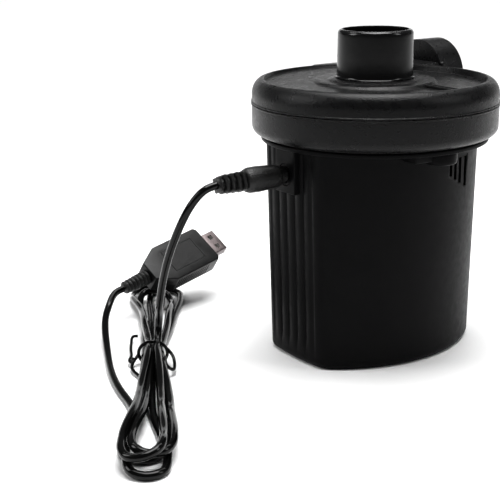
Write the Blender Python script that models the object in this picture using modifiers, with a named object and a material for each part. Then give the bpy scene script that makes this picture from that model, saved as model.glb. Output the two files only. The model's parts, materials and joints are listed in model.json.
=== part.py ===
"""Electric air mattress pump with its lead, as separate pieces.

Metres, +Z up. The origin is on the surface that the pump stands on, under the blower's axis.
The blower's outlet points along +X, and the lead's jack is in the wall at -X.
"""

import math

import bmesh
import bpy
from mathutils import Matrix, Vector

# ---------------------------------------------------------------- sizes
GAP = 0.0003  # between pieces that touch

# Lower housing: a rounded box that widens towards its top
BODY_BASE_X = 0.0420  # half length at the base
BODY_BASE_Y = 0.0335  # half width at the base
BODY_TOP_X = 0.0443
BODY_TOP_Y = 0.0358
BODY_HEIGHT = 0.0913  # top of the flange
BODY_WALL = 0.0020
BODY_FLOOR = 0.0022
BROAD_ARC = 0.0600  # radius of the two broad faces
END_ARC = 0.1200  # radius of the two end faces
CORNER_RADIUS = 0.0078
BASE_EDGE = 0.0028  # rounding round the base
FLUTE_PITCH = 0.0056
FLUTE_DEPTH = 0.0009
FLUTES = 7  # on each end face
FLUTE_FOOT = 0.0060  # the flutes fade out below this height
DISC_RADIUS = 0.0510  # the blower housing above
FLANGE_RADIUS = DISC_RADIUS - 0.0038
FLANGE_THICKNESS = 0.0017
SCREW_BOSS_RADIUS = 0.0068
SCREW_BOSS_Y = FLANGE_RADIUS - 0.0069
SCREW_BOSS_HEIGHT = 0.0046  # below the flange

# Jack panel on the -X wall, switch pad on the +X wall
JACK_Z = BODY_HEIGHT - 0.0118
PANEL_HALF_Y = 0.0065
PANEL_FACE_X = BODY_TOP_X + 0.0017
PANEL_BOTTOM = JACK_Z - 0.0075
SWITCH_Z = BODY_HEIGHT - 0.0233
SWITCH_PAD_HALF_Y = 0.0092
SWITCH_PAD_HALF_Z = 0.0122

# Vents in the broad faces
VENT_X = (0.0123, 0.0158, 0.0194, 0.0236)
VENT_WIDTH = 0.0020
VENT_TOP = BODY_HEIGHT - 0.0077
VENT_BOTTOM_FIRST = VENT_TOP - 0.0069
VENT_BOTTOM_LAST = VENT_TOP - 0.0126
VENT_RECESS = 0.0007

# Blower housing
DISC_WALL = 0.0024
DISC_BOTTOM = BODY_HEIGHT + GAP
PARTING_Z = DISC_BOTTOM + 0.0134
DISC_TOP = DISC_BOTTOM + 0.0231
DISC_EDGE = 0.0038  # rounding at the top and bottom of the rim
DISC_LIFT = 0.0005  # shadow gap between the rim and the flange
BEAD = 0.0003  # the parting bead stands this proud
CHAMBER_FLOOR = DISC_BOTTOM + 0.0020
CHAMBER_ROOF = DISC_TOP - 0.0047
SEAL_REBATE = 0.0010
SEAL_HALF_HEIGHT = 0.0018
INTAKE_RADIUS = 0.0155
INTAKE_BASE_RADIUS = INTAKE_RADIUS + 0.0004
TOP_RECESS_RADIUS = DISC_RADIUS - 0.0050
TOP_BOSS_RADIUS = INTAKE_BASE_RADIUS + 0.0086
TOP_BOSS_Z = DISC_TOP - 0.0008
SCROLL_LOW = DISC_TOP - 0.0028  # the sunken top face, deepest
SCROLL_HIGH = DISC_TOP - 0.0007  # and shallowest, one turn on
SCROLL_START = math.radians(30)
RIDGE_X = 0.0070
RIDGE_WIDTH = 0.0020
RIDGE_HEIGHT = 0.0005

# Intake nozzle
INTAKE_TOP = DISC_TOP + 0.0197
INTAKE_BORE = INTAKE_RADIUS - 0.0019
INTAKE_LIP = 0.0006
INTAKE_FLANGE = INTAKE_BASE_RADIUS + 0.0031
INTAKE_FLANGE_THICKNESS = 0.0010
GUARD_Z = DISC_TOP - 0.0005
GUARD_HEIGHT = 0.0018
GUARD_BAR = 0.0014

# Outlet: a duct on a tangent, then a round nozzle
DUCT_HALF_WIDTH = 0.0160
DUCT_WALL = 0.0022
DUCT_START_X = 0.0040
DUCT_END_X = DISC_RADIUS + 0.0040
OUTLET_Y = DISC_RADIUS - DUCT_HALF_WIDTH
OUTLET_Z = DISC_TOP - 0.0072
OUTLET_RADIUS = 0.0162
OUTLET_BORE = OUTLET_RADIUS - 0.0020
OUTLET_FACE_X = DUCT_END_X + GAP + 0.0020
OUTLET_END_X = OUTLET_FACE_X + 0.0117
OUTLET_LIP = 0.0004

# Motor and rotor
MOTOR_RADIUS = 0.0180
MOTOR_WALL = 0.0011
MOTOR_TOP = DISC_BOTTOM - GAP
MOTOR_BOTTOM = MOTOR_TOP - 0.0470
MOTOR_BOSS_RADIUS = 0.0050
MOTOR_BOSS_HEIGHT = 0.0020
END_CAP_THICKNESS = 0.0020
BEARING_POCKET = 0.0045
SHAFT_RADIUS = 0.0016
SHAFT_HOLE = SHAFT_RADIUS + 2 * GAP
SHAFT_BOTTOM = MOTOR_BOTTOM - 0.0053
MAGNET_THICKNESS = 0.0026
MAGNET_BOTTOM = MOTOR_BOTTOM + 0.0077
MAGNET_TOP = MOTOR_TOP - 0.0053
AIR_GAP = 0.0006
POLES = 3
CORE_BOTTOM = MAGNET_BOTTOM + 0.0050
CORE_TOP = MAGNET_TOP - 0.0050
POLE_NECK = 0.0060
POLE_SHOE_THICKNESS = 0.0024
END_TURN_HEIGHT = 0.0035
COMMUTATOR_RADIUS = 0.0042
COMMUTATOR_BOTTOM = MOTOR_BOTTOM + 0.0009
COMMUTATOR_TOP = CORE_BOTTOM - 0.0055
BRUSH_WIDTH = 0.0034
MOTOR_SCREW_Y = 0.0125
MOTOR_SCREW_RADIUS = 0.0013
MOTOR_SCREW_HEAD = 0.0028
MOTOR_SCREW_HEAD_HEIGHT = 0.0017

# Screws through the two bosses
HOUSING_SCREW_RADIUS = 0.0013
HOUSING_SCREW_HEAD = 0.0028
HOUSING_SCREW_TOP = CHAMBER_ROOF - 0.0015
PILLAR_RADIUS = 0.0033
SCREW_RECESS = 0.0026  # the head's hole into the boss

# Impeller
IMPELLER_RADIUS = SCREW_BOSS_Y - PILLAR_RADIUS - 0.0030
IMPELLER_PLATE_Z = CHAMBER_FLOOR + 0.0027
IMPELLER_PLATE = 0.0013
IMPELLER_TOP = CHAMBER_ROOF - 0.0026
IMPELLER_HUB = 0.0050
HUB_TOP = IMPELLER_PLATE_Z + 0.0069
SHAFT_TOP = HUB_TOP + 0.0030
BLADES = 9
BLADE_INNER = 0.0150
BLADE_THICKNESS = 0.0012
BLADE_SWEEP = math.radians(42)

# Switch
ROCKER_BEZEL_Y = 0.0075  # half sizes
ROCKER_BEZEL_Z = 0.0105
ROCKER_BODY_Y = 0.0064
ROCKER_BODY_Z = 0.0094
ROCKER_CAVITY_Y = 0.0052
ROCKER_CAVITY_Z = 0.0082
ROCKER_BEZEL_THICKNESS = 0.0020
ROCKER_DEPTH = 0.0130
ROCKER_THROW = math.radians(20)

# Low-voltage plug and jack
BARREL_RADIUS = 0.00275
BARREL_BORE = 0.0013
BARREL_REACH = 0.0098  # into the jack
PIN_RADIUS = 0.0010
JACK_NOSE_RADIUS = 0.0043
PLUG_COLLAR_RADIUS = BARREL_RADIUS + 0.00095
PLUG_COLLAR_LENGTH = 0.0033
PLUG_FRONT_RADIUS = 0.0044
PLUG_REAR_RADIUS = 0.0052
PLUG_LENGTH = 0.0197  # collar and grip
RELIEF_LENGTH = 0.0117
RELIEF_RADIUS = 0.0039
RELIEF_RINGS = 4

# Lead
LEAD_RADIUS = 0.0016
HANK_HEIGHT = 0.0066
HANK_TIE = Vector((-0.0929, 0.0289, 0.0))  # where the tie holds the hank
HANK_ALONG = Vector((0.511, 0.8595, 0.0)).normalized()
HANK_ACROSS = Vector((0.8595, -0.511, 0.0)).normalized()
HANK_NEAR = 0.1040  # from the tie to each end
HANK_FAR = 0.0985
HANK_NECK = 0.0070  # half widths
HANK_NEAR_HALF = 0.0100
HANK_FAR_HALF = 0.0128
TIE_WIDTH = 0.0024
TIE_THICKNESS = 0.0009
LEAD_ROUTE = (
    (-0.0783, 0.0000, 0.0795),
    (-0.0830, 0.0003, 0.0784),
    (-0.0875, 0.0022, 0.0738),
    (-0.0908, 0.0058, 0.0655),
    (-0.0924, 0.0105, 0.0560),
    (-0.0927, 0.0160, 0.0455),
    (-0.0917, 0.0218, 0.0350),
    (-0.0899, 0.0276, 0.0245),
    (-0.0881, 0.0325, 0.0150),
    (-0.0870, 0.0352, 0.0098),
    (-0.0869, 0.0353, 0.0070),
)
USB_LEAD_ROUTE = (
    (-0.0862, 0.0797, 0.0117),
    (-0.0932, 0.0708, 0.0083),
    (-0.0988, 0.0603, 0.0052),
    (-0.1038, 0.0492, 0.0027),
    (-0.1088, 0.0380, 0.0017),
    (-0.1134, 0.0268, 0.0017),
    (-0.1170, 0.0164, 0.0017),
    (-0.1193, 0.0082, 0.0017),
)

# Voltage-raising plug at the far end
USB_CENTRE = Vector((-0.0439, 0.0920, 0.0204))
USB_YAW = math.radians(12)
USB_PITCH = math.radians(9)
USB_ROLL = math.radians(38)
USB_LENGTH = 0.0380
USB_WIDTH = 0.0205
USB_THICKNESS = 0.0095
USB_EDGE = 0.0008
USB_SHELL_LENGTH = 0.0092
USB_SHELL_WIDTH = 0.0120
USB_SHELL_HEIGHT = 0.0045
USB_SHELL_WALL = 0.0004
USB_RELIEF_LENGTH = 0.0140
USB_RELIEF_RADIUS = 0.0036
USB_RELIEF_RINGS = 5

WIRE_RADIUS = 0.0008
ROUND_STEPS = 40
SMALL_STEPS = 16
FLUTE_STEPS = 2  # points for each flute

# ---------------------------------------------------------------- scene and helpers
for old in list(bpy.data.objects):
    bpy.data.objects.remove(old, do_unlink=True)

parts = bpy.data.collections.new("air_mattress_pump")
cutters = bpy.data.collections.new("cutters")
bpy.context.scene.collection.children.link(parts)
bpy.context.scene.collection.children.link(cutters)


def material(name, colour, roughness, metallic=0.0):
    made = bpy.data.materials.get(name)
    if made is None:
        made = bpy.data.materials.new(name)
        made.use_nodes = True
        shader = made.node_tree.nodes["Principled BSDF"]
        shader.inputs["Base Color"].default_value = (*colour, 1.0)
        shader.inputs["Roughness"].default_value = roughness
        shader.inputs["Metallic"].default_value = metallic
    return made


BLACK_SATIN = material("body plastic", (0.020, 0.020, 0.022), 0.50)
BLACK_GRAIN = material("blower plastic", (0.022, 0.022, 0.024), 0.42)
BLACK_GLOSS = material("nozzle plastic", (0.018, 0.018, 0.020), 0.22)
RUBBER = material("seal rubber", (0.030, 0.030, 0.030), 0.80)
PVC = material("lead sheath", (0.015, 0.015, 0.016), 0.30)
STEEL = material("steel", (0.60, 0.60, 0.60), 0.30, 1.0)
CAN_STEEL = material("motor can", (0.55, 0.56, 0.58), 0.35, 1.0)
NICKEL = material("nickel", (0.62, 0.57, 0.56), 0.30, 1.0)
BRASS = material("brass", (0.75, 0.58, 0.28), 0.30, 1.0)
COPPER = material("copper", (0.80, 0.40, 0.22), 0.35, 1.0)
FERRITE = material("ferrite", (0.060, 0.060, 0.065), 0.70)
WHITE_PLASTIC = material("white plastic", (0.75, 0.75, 0.72), 0.45)
RED_WIRE = material("red insulation", (0.55, 0.03, 0.02), 0.40)
BLACK_WIRE = material("black insulation", (0.02, 0.02, 0.02), 0.40)
CERAMIC = material("capacitor", (0.55, 0.28, 0.08), 0.50)


def place(name, mesh, look=None, collection=parts):
    obj = bpy.data.objects.new(name, mesh)
    collection.objects.link(obj)
    if look is not None:
        mesh.materials.clear()
        mesh.materials.append(look)
    return obj


def evaluated_mesh(obj):
    """The object's shape with its modifiers, as a mesh of its own, in world space."""
    bpy.context.view_layer.update()
    graph = bpy.context.evaluated_depsgraph_get()
    mesh = bpy.data.meshes.new_from_object(obj.evaluated_get(graph))
    mesh.transform(obj.matrix_world)
    return mesh


def baked(obj):
    """Swaps the object for a plain mesh object of the same shape, caps welded."""
    mesh = evaluated_mesh(obj)
    name = obj.name
    home = obj.users_collection[0]
    looks = [slot.material for slot in obj.material_slots]
    bpy.data.objects.remove(obj, do_unlink=True)
    weld = bmesh.new()
    weld.from_mesh(mesh)
    bmesh.ops.remove_doubles(weld, verts=weld.verts, dist=1e-6)
    bmesh.ops.recalc_face_normals(weld, faces=weld.faces)
    weld.to_mesh(mesh)
    weld.free()
    return place(name, mesh, looks[0] if looks else None, home)


def smooth(obj, angle=35):
    obj.data.shade_smooth()
    obj.data.set_sharp_from_angle(angle=math.radians(angle))
    return obj


def turned(name, profile, look=None, steps=ROUND_STEPS, centre=(0, 0, 0), axis="Z", collection=parts):
    """A ring or a solid of revolution. The profile is (radius, height) points, down the outer side first."""
    outline = bmesh.new()
    corners = [outline.verts.new((radius, 0, height)) for radius, height in profile]
    closed = all(radius > 1e-7 for radius, _ in profile)
    for here, there in zip(corners, corners[1:] + corners[:1] if closed else corners[1:]):
        outline.edges.new((here, there))
    mesh = bpy.data.meshes.new(name)
    outline.to_mesh(mesh)
    outline.free()
    obj = place(name, mesh, look, collection)
    screw = obj.modifiers.new("turn", "SCREW")
    screw.axis = "Z"
    screw.steps = steps
    screw.render_steps = steps
    screw.use_merge_vertices = True
    screw.merge_threshold = 1e-6
    obj = baked(obj)
    lean = {"Z": 0, "X": 1, "-X": -1}[axis]
    obj.data.transform(Matrix.Translation(centre) @ Matrix.Rotation(lean * math.pi / 2, 4, "Y"))
    return smooth(obj)


def cylinder(name, radius, bottom, top, look=None, centre=(0, 0), steps=SMALL_STEPS, collection=parts):
    shape = bmesh.new()
    middle = Matrix.Translation((centre[0], centre[1], (bottom + top) / 2))
    bmesh.ops.create_cone(shape, cap_ends=True, segments=steps, radius1=radius, radius2=radius,
                          depth=top - bottom, matrix=middle)
    mesh = bpy.data.meshes.new(name)
    shape.to_mesh(mesh)
    shape.free()
    return smooth(place(name, mesh, look, collection))


def cylinder_x(name, radius, left, right, y, z, look=None, steps=SMALL_STEPS, collection=parts):
    shape = bmesh.new()
    lie = Matrix.Translation(((left + right) / 2, y, z)) @ Matrix.Rotation(math.pi / 2, 4, "Y")
    bmesh.ops.create_cone(shape, cap_ends=True, segments=steps, radius1=radius, radius2=radius,
                          depth=right - left, matrix=lie)
    mesh = bpy.data.meshes.new(name)
    shape.to_mesh(mesh)
    shape.free()
    return smooth(place(name, mesh, look, collection))


def box(name, low, high, look=None, collection=parts):
    shape = bmesh.new()
    size = [b - a for a, b in zip(low, high)]
    middle = [(a + b) / 2 for a, b in zip(low, high)]
    bmesh.ops.create_cube(shape, size=1.0, matrix=Matrix.Translation(middle) @ Matrix.Diagonal((*size, 1)))
    mesh = bpy.data.meshes.new(name)
    shape.to_mesh(mesh)
    shape.free()
    return place(name, mesh, look, collection)


def plate(name, outline, thickness, look=None, holes=(), collection=parts):
    """A flat outline in XY, thickened evenly both ways about z = 0."""
    curve = bpy.data.curves.new(name, "CURVE")
    curve.dimensions = "2D"
    curve.fill_mode = "BOTH"
    curve.extrude = thickness / 2
    for loop in (outline, *holes):
        spline = curve.splines.new("POLY")
        spline.points.add(len(loop) - 1)
        for point, (x, y) in zip(spline.points, loop):
            point.co = (x, y, 0, 1)
        spline.use_cyclic_u = True
    return baked(place(name, curve, look, collection))


def through_points(route, spacing):
    """Points this far apart on a smooth curve through the route. A short first or last run stays."""
    ends = [2 * route[0] - route[1], *route, 2 * route[-1] - route[-2]]
    fine = []
    for a, b, c, d in zip(ends, ends[1:], ends[2:], ends[3:]):
        for step in range(20):
            t = step / 20
            fine.append(0.5 * (2 * b + (c - a) * t + (2 * a - 5 * b + 4 * c - d) * t * t
                               + (3 * b - a - 3 * c + d) * t ** 3))
    fine.append(route[-1])
    total = sum((b - a).length for a, b in zip(fine, fine[1:]))
    count = max(2, round(total / spacing))
    kept = [fine[0]]
    run = 0.0
    for a, b in zip(fine, fine[1:]):
        run += (b - a).length
        if run >= total * len(kept) / count and len(kept) < count:
            kept.append(b)
    kept.append(fine[-1])
    near = 0.6 * spacing
    if (route[1] - route[0]).length < near:
        kept.insert(1, route[1])
    if (route[-2] - route[-1]).length < near:
        kept.insert(-1, route[-2])
    return kept


def tube(name, route, radius, look, spacing):
    points = through_points([Vector(point) for point in route], spacing)
    curve = bpy.data.curves.new(name, "CURVE")
    curve.dimensions = "3D"
    curve.bevel_depth = radius
    curve.bevel_resolution = 2
    curve.use_fill_caps = True
    spline = curve.splines.new("POLY")
    spline.points.add(len(points) - 1)
    for point, at in zip(spline.points, points):
        point.co = (*at, 1)
    return place(name, curve, look)


def settle(obj):
    """Makes the result of the modifiers the object's own mesh, doubled points welded."""
    mesh = evaluated_mesh(obj)
    obj.modifiers.clear()
    weld = bmesh.new()
    weld.from_mesh(mesh)
    bmesh.ops.remove_doubles(weld, verts=weld.verts, dist=2e-6)
    bmesh.ops.dissolve_degenerate(weld, edges=weld.edges, dist=2e-6)
    weld.to_mesh(mesh)
    weld.free()
    obj.data = mesh
    return obj


def combine(obj, other, operation):
    """Joins or cuts by a boolean. The other shape stays in its collection as a wire."""
    other.hide_render = True
    other.display_type = "WIRE"
    change = obj.modifiers.new(operation.lower(), "BOOLEAN")
    change.operation = operation
    change.solver = "EXACT"
    change.object = other
    return settle(obj)


def cut(obj, *others):
    for other in others:
        combine(obj, other, "DIFFERENCE")
    return obj


def join(obj, *others):
    for other in others:
        combine(obj, other, "UNION")
    return obj


def finished(obj, angle=35):
    return smooth(baked(obj), angle)


def rounded(obj, width, segments=2, angle=35):
    edge = obj.modifiers.new("edge", "BEVEL")
    edge.width = width
    edge.segments = segments
    edge.limit_method = "ANGLE"
    edge.angle_limit = math.radians(angle)
    return obj


def arc(centre, radius, start, end, steps):
    """(x, y) points on an arc, angles in degrees."""
    angles = [math.radians(start + (end - start) * step / steps) for step in range(steps + 1)]
    return [(centre[0] + radius * math.cos(a), centre[1] + radius * math.sin(a)) for a in angles]


# ---------------------------------------------------------------- lower housing
def body_outline(half_x, half_y, flute=0.0, fluted=True):
    """One level of the housing: two broad arcs, two end arcs and a fillet at each corner."""
    broad = Vector((0, half_y - BROAD_ARC))
    end = Vector((half_x - END_ARC, 0))
    a = BROAD_ARC - CORNER_RADIUS
    b = END_ARC - CORNER_RADIUS
    between = end - broad
    far = between.length
    along = (a * a - b * b + far * far) / (2 * far)
    aside = math.sqrt(a * a - along * along)
    unit = between / far
    normal = Vector((-unit.y, unit.x))
    corner = max((broad + unit * along + normal * side * aside for side in (-1, 1)), key=lambda p: p.x + p.y)
    broad_angle = math.atan2(corner.y - broad.y, corner.x - broad.x)
    end_angle = math.atan2(corner.y - end.y, corner.x - end.x)
    quarter = []
    fluted_steps = FLUTE_STEPS * FLUTES // 2 if fluted else 2
    for step in range(fluted_steps):
        angle = end_angle * step / fluted_steps
        wave = 2 * math.pi * END_ARC * math.sin(angle) / FLUTE_PITCH
        reach = END_ARC - flute * (0.5 - 0.5 * math.cos(wave))
        quarter.append((end.x + reach * math.cos(angle), end.y + reach * math.sin(angle)))
    for step in range(4):
        angle = end_angle + (broad_angle - end_angle) * step / 4
        quarter.append((corner.x + CORNER_RADIUS * math.cos(angle),
                        corner.y + CORNER_RADIUS * math.sin(angle)))
    for step in range(5):
        angle = broad_angle + (math.pi / 2 - broad_angle) * step / 5
        quarter.append((broad.x + BROAD_ARC * math.cos(angle), broad.y + BROAD_ARC * math.sin(angle)))
    half = quarter + [(0.0, half_y)] + [(-x, y) for x, y in reversed(quarter[1:])]
    return half + [(-x, -y) for x, y in half]


def body_half(height):
    share = height / BODY_HEIGHT
    return (BODY_BASE_X + (BODY_TOP_X - BODY_BASE_X) * share,
            BODY_BASE_Y + (BODY_TOP_Y - BODY_BASE_Y) * share)


def loft(name, levels, look=None, collection=parts):
    """Closed skin over (height, outline) levels that share one point count."""
    skin = bmesh.new()
    rings = [[skin.verts.new((x, y, height)) for x, y in outline] for height, outline in levels]
    for lower, upper in zip(rings, rings[1:]):
        for i, corner in enumerate(lower):
            after = (i + 1) % len(lower)
            skin.faces.new((corner, lower[after], upper[after], upper[i]))
    skin.faces.new(list(reversed(rings[0])))
    skin.faces.new(rings[-1])
    bmesh.ops.recalc_face_normals(skin, faces=skin.faces)
    mesh = bpy.data.meshes.new(name)
    skin.to_mesh(mesh)
    skin.free()
    return place(name, mesh, look, collection)


def outer_levels():
    levels = []
    for step in range(3):
        angle = math.radians(45 * step)
        inset = BASE_EDGE * (1 - math.sin(angle))
        height = BASE_EDGE * (1 - math.cos(angle))
        half_x, half_y = body_half(height)
        levels.append((height, body_outline(half_x - inset, half_y - inset)))
    for height, flute in ((FLUTE_FOOT, 0.6 * FLUTE_DEPTH), (2 * FLUTE_FOOT, FLUTE_DEPTH),
                          (BODY_HEIGHT - FLANGE_THICKNESS / 2, FLUTE_DEPTH)):
        levels.append((height, body_outline(*body_half(height), flute)))
    return levels


def inner_levels():
    levels = []
    for height in (BODY_FLOOR, BODY_HEIGHT + 0.004):
        half_x, half_y = body_half(height)
        plain = body_outline(half_x - BODY_WALL - FLUTE_DEPTH, half_y - BODY_WALL, fluted=False)
        levels.append((height, plain))
    return levels


def vent_cutters():
    """Four slots and their shallow recess on the -Y face, and the same turned half round on the +Y face."""
    made = []
    for turn in (0, math.pi):
        spin = Matrix.Rotation(turn, 4, "Z")
        for i, x in enumerate(VENT_X):
            share = i / (len(VENT_X) - 1)
            bottom = VENT_BOTTOM_FIRST + (VENT_BOTTOM_LAST - VENT_BOTTOM_FIRST) * share
            slot = box(f"vent_{i}", (x - VENT_WIDTH / 2, -BODY_TOP_Y - 0.009, bottom),
                       (x + VENT_WIDTH / 2, -BODY_TOP_Y + 0.012, VENT_TOP), collection=cutters)
            slot.data.transform(spin)
            made.append(slot)
        middle = (VENT_X[0] + VENT_X[-1]) / 2
        lean = math.asin(middle / BROAD_ARC)
        near = VENT_X[0] - VENT_WIDTH - middle
        far = VENT_X[-1] + VENT_WIDTH - middle
        rise = (VENT_BOTTOM_FIRST - VENT_BOTTOM_LAST) / (VENT_X[-1] - VENT_X[0])
        margin = VENT_WIDTH / 2
        low_near = VENT_BOTTOM_FIRST - margin + rise * VENT_WIDTH
        low_far = VENT_BOTTOM_LAST - margin - rise * VENT_WIDTH
        outline = [(near, low_near), (far, low_far), (far, VENT_TOP + margin), (near, VENT_TOP + margin)]
        recess = plate("vent_recess", outline, 0.010, collection=cutters)
        depth = BROAD_ARC * math.cos(lean) - BROAD_ARC + body_half(VENT_TOP)[1]
        stand = Matrix.Rotation(math.pi / 2, 4, "X")
        away = Matrix.Translation((0, -0.005 + VENT_RECESS, 0))
        there = Matrix.Translation((middle, -depth, 0)) @ Matrix.Rotation(lean, 4, "Z")
        recess.data.transform(spin @ there @ away @ stand)
        made.append(recess)
    return made


def build_body_shell():
    shell = loft("body_shell", outer_levels(), BLACK_SATIN)
    flange_bottom = BODY_HEIGHT - FLANGE_THICKNESS
    edge = 0.0004
    flange = turned("flange", [(0, BODY_HEIGHT), (FLANGE_RADIUS - edge, BODY_HEIGHT),
                               (FLANGE_RADIUS, BODY_HEIGHT - edge), (FLANGE_RADIUS, flange_bottom + edge),
                               (FLANGE_RADIUS - edge, flange_bottom), (0, flange_bottom)],
                    collection=cutters)
    panel = box("jack_panel", (-PANEL_FACE_X, -PANEL_HALF_Y, PANEL_BOTTOM),
                (-BODY_BASE_X + BODY_WALL, PANEL_HALF_Y, BODY_HEIGHT - FLANGE_THICKNESS / 2),
                collection=cutters)
    pad = box("switch_pad", (BODY_BASE_X - BODY_WALL, -SWITCH_PAD_HALF_Y, SWITCH_Z - SWITCH_PAD_HALF_Z),
              (PANEL_FACE_X, SWITCH_PAD_HALF_Y, SWITCH_Z + SWITCH_PAD_HALF_Z), collection=cutters)
    join(shell, flange, panel, pad)
    for side in (-1, 1):
        boss = turned(f"boss_{side}", [(0, BODY_HEIGHT - FLANGE_THICKNESS / 2),
                                       (SCREW_BOSS_RADIUS, BODY_HEIGHT - FLANGE_THICKNESS / 2),
                                       (SCREW_BOSS_RADIUS, flange_bottom - SCREW_BOSS_HEIGHT + 0.001),
                                       (SCREW_BOSS_RADIUS - 0.001, flange_bottom - SCREW_BOSS_HEIGHT),
                                       (0, flange_bottom - SCREW_BOSS_HEIGHT)],
                      steps=32, centre=(0, side * SCREW_BOSS_Y, 0), collection=cutters)
        join(shell, boss)
    cut(shell, loft("body_cavity", inner_levels(), collection=cutters))
    for side in (-1, 1):
        at = (0, side * SCREW_BOSS_Y)
        under = flange_bottom - SCREW_BOSS_HEIGHT - 0.005
        cut(shell, cylinder("screw_hole", HOUSING_SCREW_RADIUS + GAP, under, BODY_HEIGHT + 0.004, centre=at,
                            steps=16, collection=cutters))
        cut(shell, cylinder("screw_recess", HOUSING_SCREW_HEAD + GAP, under,
                            flange_bottom - SCREW_BOSS_HEIGHT + SCREW_RECESS, centre=at, steps=20,
                            collection=cutters))
    cut(shell, cylinder_x("jack_hole", JACK_NOSE_RADIUS + GAP, -PANEL_FACE_X - 0.004,
                          -PANEL_FACE_X + 0.010, 0, JACK_Z, collection=cutters))
    reach_y = ROCKER_BODY_Y + GAP
    reach_z = ROCKER_BODY_Z + GAP
    cut(shell, box("switch_hole", (PANEL_FACE_X - 0.010, -reach_y, SWITCH_Z - reach_z),
                   (PANEL_FACE_X + 0.004, reach_y, SWITCH_Z + reach_z), collection=cutters))
    cut(shell, *vent_cutters())
    return finished(shell, 30)


# ---------------------------------------------------------------- blower housing
def duct_box(name, low, high, inset=0.0):
    """The outlet duct's outside, or with an inset its inside, between two heights."""
    return box(name, (DUCT_START_X, OUTLET_Y - DUCT_HALF_WIDTH + inset, low),
               (DUCT_END_X + (0.001 if inset else 0.0), OUTLET_Y + DUCT_HALF_WIDTH - inset, high),
               collection=cutters)


def build_volute_pan():
    top = PARTING_Z - GAP / 2
    low = DISC_BOTTOM + DISC_LIFT
    rim = arc((DISC_RADIUS - DISC_EDGE, low + DISC_EDGE), DISC_EDGE, 0, -90, 3)
    spigot = FLANGE_RADIUS - 0.0008
    outer = [(0, top), (DISC_RADIUS + BEAD, top), (DISC_RADIUS + BEAD, top - BEAD),
             (DISC_RADIUS, top - 2 * BEAD), *rim, (spigot, low), (spigot, DISC_BOTTOM), (0, DISC_BOTTOM)]
    pan = turned("volute_pan", outer, BLACK_GRAIN)
    join(pan, rounded(duct_box("duct_low", DISC_BOTTOM, top), 0.002))
    inside = DISC_RADIUS - DISC_WALL
    rebate = top - SEAL_HALF_HEIGHT
    chamber = turned("chamber_low", [(0, top + 0.002), (inside + SEAL_REBATE, top + 0.002),
                                     (inside + SEAL_REBATE, rebate), (inside, rebate),
                                     (inside, CHAMBER_FLOOR + 0.001), (inside - 0.001, CHAMBER_FLOOR),
                                     (0, CHAMBER_FLOOR)], collection=cutters)
    cut(pan, chamber, duct_box("duct_low_inside", DISC_BOTTOM + DUCT_WALL, top + 0.002, DUCT_WALL))
    for side in (-1, 1):
        at = (0, side * SCREW_BOSS_Y)
        join(pan, cylinder("pillar_low", PILLAR_RADIUS, CHAMBER_FLOOR - 0.001, top, centre=at, steps=20,
                           collection=cutters))
    for side in (-1, 1):
        cut(pan, cylinder("pillar_bore", HOUSING_SCREW_RADIUS + GAP, DISC_BOTTOM - 0.006, top + 0.004,
                          centre=(0, side * SCREW_BOSS_Y), steps=16, collection=cutters))
        cut(pan, cylinder("motor_screw_hole", MOTOR_SCREW_RADIUS + GAP, DISC_BOTTOM - 0.006, top,
                          centre=(0, side * MOTOR_SCREW_Y), steps=16, collection=cutters))
    cut(pan, cylinder("motor_boss_hole", MOTOR_BOSS_RADIUS + GAP, DISC_BOTTOM - 0.006, top, steps=32,
                      collection=cutters))
    return finished(pan, 30)


def scroll_height(angle):
    """Height of the sunken top face: lowest at the scroll's start, then rising clockwise seen from above."""
    turned_by = (SCROLL_START - angle) % (2 * math.pi)
    return SCROLL_LOW + (SCROLL_HIGH - SCROLL_LOW) * turned_by / (2 * math.pi)


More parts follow.
